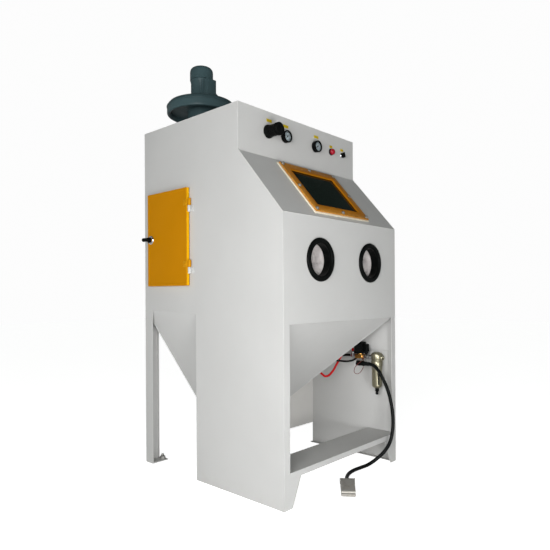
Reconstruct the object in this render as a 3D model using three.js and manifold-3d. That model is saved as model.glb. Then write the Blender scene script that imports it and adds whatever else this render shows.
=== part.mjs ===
// Suction blast cabinet: sheet-metal chamber and shroud, hopper, door, window, glove ports,
// control instruments, roof fan, air supply unit and foot switch. Millimetres, +Z up.
// Sizes are written in cabinet coordinates: x to the right from the left face, y backwards
// from the front plane, z up from the floor. The last lines centre the group on its box.
import * as THREE from 'three';
import { mergeVertices } from 'three/addons/utils/BufferGeometryUtils.js';
import Module from 'manifold-3d';

const wasm = await Module();
wasm.setup();

// ---- Driving dimensions
const WIDTH = 900;
const DEPTH = 990;
const HEIGHT = 1755;
const SHEET = 3;
const GAP = 0.3; // clearance left between touching pieces
const SHROUD_DEPTH = 564; // depth of the side plates that reach the floor
const PANEL_SETBACK = 265; // the control panel stands this far behind the front plane
const PANEL_FOOT = 1540; // lower edge of the control panel
const KNEE_LINE = 1236; // upper edge of the vertical front
const OPENING_TOP = 769;
const STILE = 38;
const CHAMBER_FLOOR = 814;
const SHELF_TOP = 150;
const SHELF_DEPTH = 175;
const LIP = 25;

const PORT_INSET = 249;
const PORT_HEIGHT = 1047;
const RING_RADIUS = 98;
const RING_PROUD = 12;
const TUBE_RADIUS = 78;
const TUBE_DEPTH = 38;

const DOOR = { front: 607, rear: 936, low: 938, high: 1417, thick: 20 };
const DOOR_LAP = { front: 25, rear: 15, low: 25, high: 25 }; // overlap on the door opening
const HINGE = { x: -10, y: 598.6, radius: 8, pinRadius: 4, half: 31, levels: [1028, 1328] };
const LATCH = { y: 905, z: 1179, reach: 45 };

const WINDOW = { left: 237, right: 663, low: 30, high: 368, frame: 45 };
const INSTRUMENT_HEIGHT = 1659;
const REGULATOR_X = 195;
const GAUGE_X = [314, 552];
const LAMP_X = 690;
const SELECTOR_X = 790;

const FAN = { x: 230, y: 790, radius: 185, low: 1860, seam: 1899, high: 1928 };
const OUTLET = { x0: 198, x1: 378, y0: 515, y1: 690, z: 225 };
const HOPPER_FRONT_RIM = 780;

const FILTER = { x: 845, y: 80, port: 550 };
const VALVE = { x: 845, y: 187 };
const GLAND = { x: 800, y: 118, z: 518 };
const CABLE_RADIUS = 9;
const PEDAL = { x: 359, y: -65, turn: THREE.MathUtils.degToRad(-52.4), length: 120, width: 58 };

const INNER = SHEET + GAP; // first plane inside the side plates
const FAR = WIDTH - INNER;

// ---- Finishes
const finish = (color, roughness, metalness = 0) =>
  new THREE.MeshStandardMaterial({ color, roughness, metalness });
const bodyPaint = finish(0xd9dad8, 0.5);
const doorPaint = finish(0xe0960c, 0.45);
const framePaint = finish(0xc77a12, 0.5);
const fanPaint = finish(0x56676b, 0.5);
const blackPlastic = finish(0x101312, 0.45);
const rubber = finish(0x16181a, 0.8);
const paleSeal = finish(0xe9e2cf, 0.6);
const glass = finish(0x0b1a16, 0.1);
const gloveCloth = finish(0xb8aca9, 0.9);
const steel = finish(0x9a9c9c, 0.35, 1);
const brass = finish(0xb98231, 0.3, 1);
const castAlloy = finish(0xa5a283, 0.4, 0.8);
const redPlastic = finish(0xc01420, 0.4);
const greyPlastic = finish(0x8b8984, 0.6);
const dialWhite = finish(0xe8ebea, 0.4);

// ---- Solid helpers
function solidOf(geometry) {
  const bare = geometry.clone();
  bare.deleteAttribute('normal');
  bare.deleteAttribute('uv');
  const welded = mergeVertices(bare, 1e-3);
  const index = welded.index.array;
  const corners = [];
  for (let i = 0; i < index.length; i += 3) {
    const [a, b, c] = [index[i], index[i + 1], index[i + 2]];
    if (a !== b && b !== c && c !== a) corners.push(a, b, c);
  }
  const build = (triVerts) => new wasm.Manifold(new wasm.Mesh({
    numProp: 3,
    vertProperties: new Float32Array(welded.attributes.position.array),
    triVerts: new Uint32Array(triVerts),
  }));
  const solid = build(corners);
  return solid.volume() > 0 ? solid : build(corners.reverse());
}

function geometryOf(solid) {
  const mesh = solid.getMesh();
  const geometry = new THREE.BufferGeometry();
  geometry.setAttribute('position', new THREE.BufferAttribute(mesh.vertProperties, 3));
  geometry.setIndex(new THREE.BufferAttribute(mesh.triVerts, 1));
  geometry.computeVertexNormals();
  return geometry;
}

const join = (...shapes) => geometryOf(shapes.map(solidOf).reduce((a, b) => a.add(b)));
const cut = (shape, ...tools) =>
  geometryOf(tools.map(solidOf).reduce((a, b) => a.subtract(b), solidOf(shape)));
const whole = (shape) => geometryOf(solidOf(shape));

function box(x0, x1, y0, y1, z0, z1) {
  const shape = new THREE.BoxGeometry(x1 - x0, y1 - y0, z1 - z0);
  return shape.translate((x0 + x1) / 2, (y0 + y1) / 2, (z0 + z1) / 2);
}

function outline(points, holes = []) {
  const shape = new THREE.Shape(points.map(([a, b]) => new THREE.Vector2(a, b)));
  shape.holes = holes;
  return shape;
}

function roundHole(a, b, radius) {
  const hole = new THREE.Path();
  hole.absarc(a, b, radius, 0, 2 * Math.PI, true);
  return hole;
}

const rectangle = (a0, a1, b0, b1) => [[a0, b0], [a1, b0], [a1, b1], [a0, b1]];
const squareHole = (a0, a1, b0, b1) =>
  new THREE.Path(rectangle(a0, a1, b0, b1).map(([a, b]) => new THREE.Vector2(a, b)));

const slab = (shape, depth, curveSegments = 16) =>
  new THREE.ExtrudeGeometry(shape, { depth, bevelEnabled: false, curveSegments });

// A sheet across X: its outline is drawn in (y, z).
const sheetX = (shape, x, thickness, facets) => {
  const swap = new THREE.Matrix4().set(0, 0, 1, 0, 1, 0, 0, 0, 0, 1, 0, 0, 0, 0, 0, 1);
  return slab(shape, thickness, facets).applyMatrix4(swap).translate(x, 0, 0);
};
// A sheet across Y: its outline is drawn in (x, z).
const sheetY = (shape, y, thickness, facets) =>
  slab(shape, thickness, facets).rotateX(Math.PI / 2).translate(0, y + thickness, 0);
const sheetZ = (shape, z, thickness, facets) =>
  slab(shape, thickness, facets).translate(0, 0, z);

// A round bar, or a cone, between two points.
function bar(from, to, radius, endRadius = radius, sides = 16) {
  const a = new THREE.Vector3(...from);
  const b = new THREE.Vector3(...to);
  const along = b.clone().sub(a);
  const shape = new THREE.CylinderGeometry(endRadius, radius, along.length(), sides);
  const turn = new THREE.Quaternion().setFromUnitVectors(
    new THREE.Vector3(0, 1, 0), along.clone().normalize());
  return shape.applyQuaternion(turn).translate(...a.add(b).multiplyScalar(0.5).toArray());
}

// A turned piece: points are (radius, distance along the axis).
const turned = (points, sides = 32) =>
  new THREE.LatheGeometry(points.map(([r, h]) => new THREE.Vector2(r, h)), sides);
const turnedUp = (points, sides) => turned(points, sides).rotateX(Math.PI / 2);
const turnedForward = (points, sides) => turned(points, sides).rotateX(Math.PI);

// A tube along a smooth curve through the points.
function tube(points, radius, steps, sides = 10) {
  const route = new THREE.CatmullRomCurve3(points.map((p) => new THREE.Vector3(...p)));
  const section = new THREE.Shape();
  section.absarc(0, 0, radius, 0, 2 * Math.PI, false);
  return new THREE.ExtrudeGeometry(section, {
    extrudePath: route, steps, curveSegments: sides / 2, bevelEnabled: false,
  });
}

// ---- Assembly
const cabinet = new THREE.Group();
function piece(name, geometry, material, place = cabinet) {
  const mesh = new THREE.Mesh(whole(geometry), material);
  mesh.name = name;
  place.add(mesh);
  return mesh;
}
function groupAt(x, y, z, parent = cabinet) {
  const group = new THREE.Group();
  group.position.set(x, y, z);
  parent.add(group);
  return group;
}

// ---- Side plates: full height at the shroud, with a return flange at the floor
function addSidePlates() {
  const profile = outline([
    [0, 0], [SHROUD_DEPTH, 0], [SHROUD_DEPTH, HEIGHT], [PANEL_SETBACK, HEIGHT],
    [PANEL_SETBACK, PANEL_FOOT], [0, KNEE_LINE],
  ]);
  const flangeStart = 12;
  const left = join(sheetX(profile, 0, SHEET), box(2, LIP, flangeStart, SHROUD_DEPTH, 0, SHEET));
  const right = join(sheetX(profile, WIDTH - SHEET, SHEET),
    box(WIDTH - LIP, WIDTH - 2, flangeStart, SHROUD_DEPTH, 0, SHEET));
  piece('left_side_plate', left, bodyPaint);
  piece('right_side_plate', right, bodyPaint);
}

// ---- Front: glove-port panel, two posts with tapered feet, and the foot shelf
function addFront() {
  const ports = [PORT_INSET, WIDTH - PORT_INSET]
    .map((x) => roundHole(x, PORT_HEIGHT, TUBE_RADIUS + 2.5));
  const face = outline(rectangle(INNER, FAR, OPENING_TOP, KNEE_LINE - 1), ports);
  piece('front_panel', sheetY(face, 0, SHEET), bodyPaint);

  const lipLow = SHELF_TOP - LIP;
  const footTip = 53;
  const footRoot = 110;
  const post = [
    [INNER, 0], [footTip, 0], [footRoot, lipLow - GAP], [STILE, lipLow - GAP],
    [STILE, OPENING_TOP - GAP], [INNER, OPENING_TOP - GAP],
  ];
  const mirrored = post.map(([x, z]) => [WIDTH - x, z]);
  piece('left_front_post', sheetY(outline(post), 0, SHEET), bodyPaint);
  piece('right_front_post', sheetY(outline(mirrored), 0, SHEET), bodyPaint);

  const near = STILE + GAP;
  const shelf = join(
    box(near, WIDTH - near, 0, SHELF_DEPTH, SHELF_TOP - SHEET, SHELF_TOP),
    box(INNER, FAR, INNER, SHELF_DEPTH, SHELF_TOP - SHEET, SHELF_TOP),
    box(near, WIDTH - near, 0, SHEET, lipLow, SHELF_TOP),
    box(INNER, FAR, SHELF_DEPTH - SHEET, SHELF_DEPTH, lipLow, SHELF_TOP),
  );
  piece('foot_shelf', shelf, bodyPaint);
}

// ---- Chamber shell behind the shroud, roof and control panel
function addShell() {
  const wall = [[SHROUD_DEPTH + GAP, 798], [926, 811.5], [926, CHAMBER_FLOOR],
    [DEPTH, CHAMBER_FLOOR], [DEPTH, HEIGHT], [SHROUD_DEPTH + GAP, HEIGHT]];
  const doorway = squareHole(DOOR.front + DOOR_LAP.front, DOOR.rear - DOOR_LAP.rear,
    DOOR.low + DOOR_LAP.low, DOOR.high - DOOR_LAP.high);
  piece('chamber_left_wall', sheetX(outline(wall, [doorway]), 0, SHEET), bodyPaint);
  piece('chamber_right_wall', sheetX(outline(wall), WIDTH - SHEET, SHEET), bodyPaint);

  const underRoof = HEIGHT - SHEET - GAP;
  piece('chamber_back_wall',
    box(INNER, FAR, DEPTH - SHEET, DEPTH, CHAMBER_FLOOR, underRoof), bodyPaint);

  const roof = outline(rectangle(INNER, FAR, PANEL_SETBACK, DEPTH),
    [roundHole(FAN.x, FAN.y, 76)]);
  piece('roof_panel', sheetZ(roof, HEIGHT - SHEET, SHEET), bodyPaint);

  const holes = [
    roundHole(REGULATOR_X, INSTRUMENT_HEIGHT, 17),
    ...GAUGE_X.map((x) => roundHole(x, INSTRUMENT_HEIGHT, 9)),
    roundHole(LAMP_X, INSTRUMENT_HEIGHT, 11.5),
    roundHole(SELECTOR_X, INSTRUMENT_HEIGHT, 11.5),
  ];
  const panel = outline(rectangle(INNER, FAR, PANEL_FOOT + GAP, underRoof), holes);
  piece('control_panel', sheetY(panel, PANEL_SETBACK, SHEET, 8), bodyPaint);
}

// ---- Sloping window panel; its group's XY plane is the outer face of the slope
function addWindow() {
  const rise = PANEL_FOOT - KNEE_LINE;
  const slope = groupAt(0, 0, KNEE_LINE);
  slope.rotation.x = Math.atan2(rise, PANEL_SETBACK);
  const length = Math.hypot(rise, PANEL_SETBACK);

  const { left, right, low, high, frame } = WINDOW;
  const inset = (d) => [left + d, right - d, low + d, high - d];
  const ring = (outer, inner) => outline(rectangle(...inset(outer)), [squareHole(...inset(inner))]);
  const sheet = outline(rectangle(INNER, FAR, 2.5, length - 0.4), [squareHole(...inset(frame + 6))]);
  piece('window_panel', sheetZ(sheet, -SHEET, SHEET), bodyPaint, slope);

  const glassInset = frame - 5;
  const glassThick = 6;
  piece('window_glass', sheetZ(outline(rectangle(...inset(glassInset))), GAP, glassThick),
    glass, slope);
  piece('window_gasket', sheetZ(ring(-2, glassInset - GAP), GAP, glassThick), paleSeal, slope);
  piece('window_frame', sheetZ(ring(0, frame), 2 * GAP + glassThick, 8), framePaint, slope);
}

// ---- Hopper: four sloping plates down to an offset square outlet
function addHopper() {
  const top = { x0: INNER, x1: FAR, y0: INNER, y1: DEPTH - INNER };
  const rimAt = (y) => (y < DEPTH / 2 ? HOPPER_FRONT_RIM : CHAMBER_FLOOR - GAP);
  const corner = (side, end, level, inside) => {
    const from = level === 'top' ? top : OUTLET;
    const x = from[side] + (side === 'x0' ? inside : -inside);
    const y = from[end] + (end === 'y0' ? inside : -inside);
    return [x, y, level === 'top' ? rimAt(y) : OUTLET.z];
  };
  // Each plate spans two corners; its ends are drawn in a little, so the mitres keep a gap.
  const plate = (a, b) => {
    const points = {};
    for (const level of ['top', 'bottom']) {
      for (const inside of [0, SHEET + 1]) {
        const p = new THREE.Vector3(...corner(...a, level, inside));
        const q = new THREE.Vector3(...corner(...b, level, inside));
        const inward = q.clone().sub(p).normalize().multiplyScalar(0.25);
        points[`${level}${inside}`] = [p.add(inward), q.sub(inward)];
      }
    }
    const shape = new THREE.BoxGeometry(2, 2, 2);
    const at = shape.attributes.position;
    for (let i = 0; i < at.count; i += 1) {
      const level = at.getZ(i) > 0 ? 'top' : 'bottom';
      const inside = at.getY(i) > 0 ? SHEET + 1 : 0;
      const p = points[`${level}${inside}`][at.getX(i) > 0 ? 1 : 0];
      at.setXYZ(i, p.x, p.y, p.z);
    }
    return shape;
  };
  piece('hopper_front_plate', plate(['x0', 'y0'], ['x1', 'y0']), bodyPaint);
  piece('hopper_rear_plate', plate(['x1', 'y1'], ['x0', 'y1']), bodyPaint);
  piece('hopper_left_plate', plate(['x0', 'y1'], ['x0', 'y0']), bodyPaint);
  piece('hopper_right_plate', plate(['x1', 'y0'], ['x1', 'y1']), bodyPaint);
}

// ---- Square spout under the hopper, with lips that carry the sliding drain gate
function addDrain() {
  const { x0, x1, y0, y1 } = OUTLET;
  const wall = 4;
  const foot = 160;
  const gateThick = 4;
  const ring = outline(rectangle(x0, x1, y0, y1),
    [squareHole(x0 + wall, x1 - wall, y0 + wall, y1 - wall)]);
  const lipOut = 6;
  const lips = [[x0 - lipOut, x0 + 0.1, x0 + 8], [x1 + lipOut, x1 - 0.1, x1 - 8]].flatMap(
    ([outer, inner, end]) => [
      box(Math.min(outer, inner), Math.max(outer, inner), y0, y1, foot - 9, foot + 16),
      box(Math.min(outer, end), Math.max(outer, end), y0, y1, foot - 9, foot - 5),
    ]);
  piece('hopper_spout', join(sheetZ(ring, foot, OUTLET.z - GAP - foot), ...lips), bodyPaint);

  const grip = (x0 + x1) / 2;
  const gate = join(
    box(x0 + 1, x1 - 1, y0 - 15, y1 - 2, foot - 4.5, foot - 4.5 + gateThick),
    box(grip - 30, grip + 30, y0 - 19, y0 - 14, foot - 22, foot - 0.5));
  piece('drain_gate', gate, steel);
}

// ---- Stand: brace sheet beside the hopper and two folded rear legs with foot plates
function addStand() {
  const braceLow = 117;
  const besideOutlet = OUTLET.x1 + 12;
  const brace = outline([
    [besideOutlet, braceLow], [FAR, braceLow], [FAR, 785], [besideOutlet, OUTLET.z],
  ]);
  piece('brace_panel', sheetY(brace, SHROUD_DEPTH - SHEET, SHEET), bodyPaint);

  const flangeSide = 63;
  const flangeBack = 75;
  const lip = 15;
  const legTop = CHAMBER_FLOOR - GAP;
  const leg = (at) => join(
    box(at(0), at(SHEET), DEPTH - flangeSide, DEPTH, 0, legTop),
    box(at(0), at(flangeBack), DEPTH - SHEET, DEPTH, 0, legTop),
    box(at(flangeBack - SHEET), at(flangeBack), DEPTH - lip, DEPTH, 0, legTop - 60),
    box(at(0), at(98), DEPTH - flangeSide, DEPTH - 1, 0, 5),
    bar([at(80), DEPTH - 36, 0], [at(80), DEPTH - 36, 9], 15, 15, 16),
    bar([at(80), DEPTH - 36, 0], [at(80), DEPTH - 36, 20], 8, 8, 6),
  );
  piece('rear_left_leg', leg((x) => x), bodyPaint);
  piece('rear_right_leg', leg((x) => WIDTH - x), bodyPaint);
}

// ---- Slotted grate over the hopper
function addGrate() {
  const margin = 2.5;
  const [left, right] = [INNER + margin, FAR - margin];
  const [front, rear] = [INNER + margin + 4, DEPTH - INNER - margin];
  const border = 40;
  const columns = 12;
  const rows = 3;
  const web = 22;
  const low = CHAMBER_FLOOR + GAP;
  const slots = [];
  const pitchX = (right - left - 2 * border + web) / columns;
  const pitchY = (rear - front - 2 * border + web) / rows;
  for (let i = 0; i < columns; i += 1) {
    for (let j = 0; j < rows; j += 1) {
      const x = left + border + i * pitchX;
      const y = front + border + j * pitchY;
      slots.push(box(x, x + pitchX - web, y, y + pitchY - web, low - 1, low + 6));
    }
  }
  piece('work_grate', cut(box(left, right, front, rear, low, low + 5), ...slots), steel);
}

// ---- Side door: panel with welded hinge barrels, gasket, latch, and the fixed hinge halves
function addDoor() {
  const { front, rear, low, high, thick } = DOOR;
  const back = -INNER;
  const [drop] = [HINGE.half];
  const barrels = HINGE.levels.flatMap((z) => [
    bar([HINGE.x, HINGE.y, z + GAP], [HINGE.x, HINGE.y, z + drop], HINGE.radius),
    box(HINGE.x - 2.5, HINGE.x + 2.5, HINGE.y, front + 1, z + GAP, z + drop),
  ]);
  const sockets = HINGE.levels.map((z) =>
    bar([HINGE.x, HINGE.y, z - 5], [HINGE.x, HINGE.y, z + drop - 5], HINGE.pinRadius + 0.4));
  const spindleHole = bar([-thick - 5, LATCH.y, LATCH.z], [5, LATCH.y, LATCH.z], 6.5);
  const leaf = join(box(-thick, back, front, rear, low, high), ...barrels);
  piece('door_panel', cut(leaf, ...sockets, spindleHole), doorPaint);

  const seal = (d) => [front + d, rear - d, low + d, high - d];
  const gasket = outline(rectangle(...seal(3)), [squareHole(...seal(13))]);
  piece('door_gasket', sheetX(gasket, back + GAP, INNER - 2 * GAP), rubber);

  for (const [name, z] of [['lower', HINGE.levels[0]], ['upper', HINGE.levels[1]]]) {
    const half = join(
      bar([HINGE.x, HINGE.y, z - drop], [HINGE.x, HINGE.y, z], HINGE.radius),
      bar([HINGE.x, HINGE.y, z - 2], [HINGE.x, HINGE.y, z + drop - 8], HINGE.pinRadius),
      box(HINGE.x, -GAP, HINGE.y - 4, HINGE.y + 4, z - drop, z - 1),
    );
    piece(`${name}_hinge_pin`, half, bodyPaint);
  }

  const spindle = groupAt(0, LATCH.y, LATCH.z);
  const face = -thick;
  const tip = -(thick + LATCH.reach);
  const camNear = SHEET + 0.6;
  const handle = join(
    bar([face - GAP, 0, 0], [face - 9, 0, 0], 20, 16, 24),
    bar([face - 8, 0, 0], [tip + 10, 0, 0], 9, 9, 16),
    bar([tip + 10, -20, 0], [tip + 10, 20, 0], 10, 10, 16),
    bar([face - 2, 0, 0], [camNear + 4, 0, 0], 6, 6, 12),
    box(camNear, camNear + 3, -8, 8, -8, 30),
  );
  piece('latch_handle', handle, blackPlastic, spindle);
}

// ---- Glove ports: ring, and a glove hanging inside as a plain closed form
function addPorts() {
  const inner = TUBE_RADIUS - 4;
  const lip = inner - 4;
  const profile = [
    [inner, -TUBE_DEPTH], [TUBE_RADIUS, -TUBE_DEPTH], [TUBE_RADIUS, GAP],
    [RING_RADIUS - 1, GAP], [RING_RADIUS, 4], [RING_RADIUS - 5, RING_PROUD - 1.5],
    [RING_RADIUS - 9, RING_PROUD], [inner, RING_PROUD], [lip, RING_PROUD - 4], [lip, 2],
    [inner, -2], [inner, -TUBE_DEPTH],
  ];
  const hand = new THREE.SphereGeometry(1, 12, 8).scale(50, 30, 62);
  for (const [side, x] of [['left', PORT_INSET], ['right', WIDTH - PORT_INSET]]) {
    const port = groupAt(x, 0, PORT_HEIGHT);
    piece(`${side}_port_ring`, turnedForward(profile, 32), blackPlastic, port);
    const glove = join(
      bar([0, TUBE_DEPTH + GAP, 0], [0, TUBE_DEPTH + 22, 0], TUBE_RADIUS, TUBE_RADIUS - 4, 20),
      bar([0, TUBE_DEPTH + 20, 0], [0, 165, -50], 74, 58, 20),
      bar([0, 150, -38], [0, 225, -120], 58, 40, 16),
      hand.clone().translate(0, 238, -160),
    );
    piece(`${side}_glove`, glove, gloveCloth, port);
  }
}

// ---- Instruments on the control panel; each group's origin is on the panel's face
function addInstruments() {
  const regulator = groupAt(REGULATOR_X, PANEL_SETBACK, INSTRUMENT_HEIGHT);
  const body = [
    [0, -70], [24, -70], [24, -SHEET - GAP], [16, -SHEET - GAP], [16, GAP],
    [33, GAP], [33.5, 5], [31.5, 14], [29, 18], [29, 24], [0, 24],
  ];
  piece('regulator_body', turnedForward(body, 24), blackPlastic, regulator);
  const knob = [
    [0, 24.5], [28, 24.5], [28.6, 27], [28.6, 66], [30.4, 68], [30.4, 84], [28, 88], [0, 88],
  ];
  piece('regulator_knob', turnedForward(knob, 24), blackPlastic, regulator);

  const gaugeCase = [
    [0, -30], [12, -30], [12, -SHEET - GAP], [7.5, -SHEET - GAP], [7.5, GAP], [28, GAP],
    [30, 4], [30, 23], [28.5, 25], [26, 25], [26, 17], [0, 17],
  ];
  const needle = join(
    turnedForward([[0, 17.4], [4, 17.4], [4, 20], [0, 20]], 12),
    box(-1.2, 1.2, -19.5, -18.5, -7, 20).rotateY(THREE.MathUtils.degToRad(-135)),
  );
  for (const [index, side] of ['left', 'right'].entries()) {
    const gauge = groupAt(GAUGE_X[index], PANEL_SETBACK, INSTRUMENT_HEIGHT);
    piece(`${side}_gauge`, turnedForward(gaugeCase, 24), blackPlastic, gauge);
    piece(`${side}_gauge_needle`, needle.clone(), dialWhite, gauge);
  }

  const lamp = groupAt(LAMP_X, PANEL_SETBACK, INSTRUMENT_HEIGHT);
  const lens = [
    [0, -30], [13, -30], [13, -SHEET - GAP], [10.5, -SHEET - GAP], [10.5, GAP], [16, GAP],
    [16, 6], [14, 8], [14, 20], [10, 24], [0, 25],
  ];
  piece('pilot_lamp', turnedForward(lens, 20), redPlastic, lamp);

  const selector = groupAt(SELECTOR_X, PANEL_SETBACK, INSTRUMENT_HEIGHT);
  const bezel = [
    [0, -40], [14, -40], [14, -SHEET - GAP], [10.5, -SHEET - GAP], [10.5, GAP], [15.5, GAP],
    [15.5, 5], [13, 7], [0, 7],
  ];
  piece('selector_base', turnedForward(bezel, 20), blackPlastic, selector);
  const lever = join(
    turnedForward([[0, 7.4], [12, 7.4], [12, 11], [0, 11]], 20),
    box(-5, 5, -25, -10, -12, 15),
  );
  piece('selector_knob', lever, blackPlastic, selector);
}

// ---- Roof fan: casing with inlet neck and side outlet, cover, impeller, motor and cowl
function addFan() {
  const fan = groupAt(FAN.x, FAN.y, 0);
  const { radius, low, seam, high } = FAN;
  const neck = 75;
  const dish = turnedUp([
    [neck - 4, HEIGHT - 15], [neck, HEIGHT - 15], [neck, low + 24], [radius - 26, low + 24],
    [radius - 18, low + 3], [radius - 9, low], [radius - 1, low + 8], [radius, low + 16],
    [radius, seam - GAP], [radius - 4, seam - GAP], [radius - 4, low + 16],
    [radius - 9, low + 5], [radius - 15, low + 8], [radius - 23, low + 28],
    [neck - 4, low + 28], [neck - 4, HEIGHT - 15],
  ], 32);
  const [outletNear, outletFar] = [95, 160];
  const [sillLow, sillHigh] = [low + 18, seam - 1];
  const duct = box(60, 215, outletNear - 4, outletFar + 4, sillLow - 3, sillHigh);
  const flange = box(209, 215, outletNear - 14, outletFar + 14, sillLow - 12, seam - GAP);
  const bore = box(40, 230, outletNear, outletFar, sillLow, sillHigh - 3);
  const core = turnedUp([[0, low + 28.2], [radius - 4, low + 28.2], [radius - 4, seam + 5],
    [0, seam + 5]], 32);
  const spout = cut(join(duct, flange), core);
  piece('fan_casing', cut(join(dish, spout), bore), fanPaint, fan);

  const cover = turnedUp([
    [10.5, high - 4], [radius - 34, high - 4], [radius - 12, high - 10], [radius - 4, seam],
    [radius, seam], [radius - 5, high - 13], [radius - 14, high - 5], [radius - 32, high],
    [10.5, high], [10.5, high - 4],
  ], 32);
  piece('fan_cover', cover, fanPaint, fan);

  const blades = [];
  const bladeCount = 8;
  for (let i = 0; i < bladeCount; i += 1) {
    const blade = box(62, 128, -2, 2, low + 31, low + 56).rotateZ((2 * Math.PI * i) / bladeCount);
    blades.push(blade);
  }
  const wheel = join(
    turnedUp([[0, low + 54], [130, low + 54], [130, low + 57], [0, low + 57]], 32),
    turnedUp([[0, low + 36], [18, low + 36], [18, low + 56], [9, low + 56], [9, high - GAP],
      [0, high - GAP]], 16),
    ...blades,
  );
  piece('fan_impeller', wheel, steel, fan);

  const base = high + GAP;
  const shoulder = 2050;
  const motor = turnedUp([
    [0, base], [70, base], [70, base + 6], [60, base + 9], [59, shoulder], [0, shoulder],
  ], 28);
  piece('fan_motor', join(motor, box(-32, 32, -84, -50, 1950, 2042)), fanPaint, fan);
  const cowl = turnedUp([
    [0, shoulder + GAP], [62, shoulder + GAP], [62, 2094], [59, 2107], [51, 2116], [40, 2120],
    [0, 2120],
  ], 28);
  piece('fan_cowl', cowl, fanPaint, fan);
}

// ---- Air supply on the right side plate: bracket, filter, solenoid valve and two hoses
function addAirUnit() {
  const { x, y, port } = FILTER;
  const wall = FAR;
  const bracket = join(
    box(wall - 6, wall, 40, 240, 515, 585),
    box(x + 31.3, wall - 5, 65, 95, 536, 562),
    box(x + 18.6, wall - 5, 175, 199, 541, 558),
    box(GLAND.x - 15, wall - 5, 178, 184, 505, 531),
  );
  piece('air_bracket', bracket, steel);

  const unit = groupAt(x, y, 0);
  const head = join(
    turnedUp([[0, 502], [29, 502], [31, 506], [31, 570], [27, 578], [16, 580], [0, 580]], 20),
    bar([0, -38, port], [0, -20, port], 13, 13, 16),
    bar([0, 20, port], [0, 81, port], 10, 10, 6),
  );
  piece('filter_head', head, castAlloy, unit);
  const bowl = [
    [0, 351], [8, 351], [8, 386], [18, 388], [26, 397], [27, 405], [27, 501.7], [0, 501.7],
  ];
  piece('filter_bowl', turnedUp(bowl, 20), castAlloy, unit);

  const valve = groupAt(VALVE.x, VALVE.y, 0);
  piece('solenoid_valve', join(
    box(-18, 18, -25, 25, 538.3, 561),
    bar([0, -25.5, port], [0, -10, port], 10.5, 10.5, 16),
  ), brass, valve);
  piece('solenoid_coil', join(
    box(-22, 22, -26, 24, 561.3, 629),
    box(-12, 12, -52, -25, 578, 619),
  ), blackPlastic, valve);

  piece('cable_gland', join(
    bar([GLAND.x, GLAND.y, GLAND.z], [GLAND.x, 146, GLAND.z], 11, 11, 16),
    bar([GLAND.x, 144, GLAND.z], [GLAND.x, 177.7, GLAND.z], 14, 14, 6),
  ), blackPlastic);

  const start = VALVE.y + 25.3;
  piece('air_hose', join(
    bar([x, start, port], [x, start + 34, port], 11, 11, 12),
    bar([x, start + 22, port], [x, start + 22, port + 26], 7, 7, 10),
    tube([[x, start + 30, port], [x, 268, 550], [832, 300, 547], [798, 324, 543],
      [755, 332, 540], [712, 332, 540], [690, 332, 540]], 7, 20),
    bar([706, 332, 540], [684, 332, 540], 10, 10, 12),
  ), rubber);

  piece('red_hose', join(
    tube([[845, 234.3, 576.6], [844, 235, 590], [832, 243, 600], [815, 254, 594],
      [799, 266, 572], [787, 279, 538], [773, 294, 502], [757, 308, 466], [738, 322, 443],
      [716, 331, 439], [694, 337, 455], [670, 342, 472], [650, 346, 482]], 6, 36, 8),
    bar([656, 345, 479], [640, 347, 487], 8, 8, 10),
  ), redPlastic);
}

// ---- Foot switch on the floor, and the cable that leads to it
function addFootSwitch() {
  const pedal = groupAt(PEDAL.x, PEDAL.y, 0);
  pedal.rotation.z = PEDAL.turn;
  const half = PEDAL.length / 2;
  const side = PEDAL.width / 2;
  const pivot = { y: 48, z: 40 };
  const profile = outline([[-half, 0], [half, 0], [half, 30], [40, 32], [-half, 12]]);
  const ear = (x) => sheetX(outline(
    [[40, 20], [56, 20], [56, 46], [40, 46]], [roundHole(pivot.y, pivot.z, 3.4)]), x, 3, 6);
  piece('foot_switch_base', join(
    sheetX(profile, -side, PEDAL.width), ear(-side - 2.9), ear(side - 0.1),
    bar([0, half - 1, 18], [0, half + 8, 18], 12, 11, 16),
  ), greyPlastic, pedal);
  piece('foot_pedal', join(
    sheetX(outline([[54, 36], [54, 44], [46, 47], [-half - 3, 26], [-half - 3, 18.5]]),
      -side + 0.5, PEDAL.width - 1),
    bar([-side - 3, pivot.y, pivot.z], [side + 3, pivot.y, pivot.z], 3, 3, 12),
  ), greyPlastic, pedal);

  const behind = (distance, z) => new THREE.Vector3(0, half + 8 + distance, z)
    .applyAxisAngle(new THREE.Vector3(0, 0, 1), PEDAL.turn)
    .add(new THREE.Vector3(PEDAL.x, PEDAL.y, 0)).toArray();
  const route = [
    [800, 117.3, 518], [800, 92, 517], [799, 66, 509], [798, 42, 488], [799, 20, 455],
    [802, 0, 415], [806, -16, 370], [809, -27, 320], [810, -34, 270], [806, -38, 220],
    [797, -38, 172], [784, -31, 125], [766, -10, 80], [738, 20, 42], [700, 45, 17],
    [655, 60, 9.8], [605, 64, 9.5], [550, 57, 9.5], [500, 37, 10.5],
    behind(40, 14), behind(16, 18), behind(0.6, 18),
  ];
  piece('foot_switch_cable', tube(route, CABLE_RADIUS, 34, 10), rubber);
}

// ---- Blast gun lying on the grate
function addGun() {
  const gun = groupAt(450, 0, CHAMBER_FLOOR + 5 + GAP + 19);
  piece('blast_gun', join(
    bar([0, 175, 0], [0, 285, 0], 19, 19, 16),
    bar([0, 125, 0], [0, 178, 0], 10, 14, 16),
    bar([0, 283, 0], [0, 312, 0], 11, 11, 12),
    bar([0, 250, 4], [52, 268, 6], 12, 10, 12),
  ), steel, gun);
}

addSidePlates();
addFront();
addShell();
addWindow();
addHopper();
addDrain();
addStand();
addGrate();
addDoor();
addPorts();
addInstruments();
addFan();
addAirUnit();
addFootSwitch();
addGun();

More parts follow.
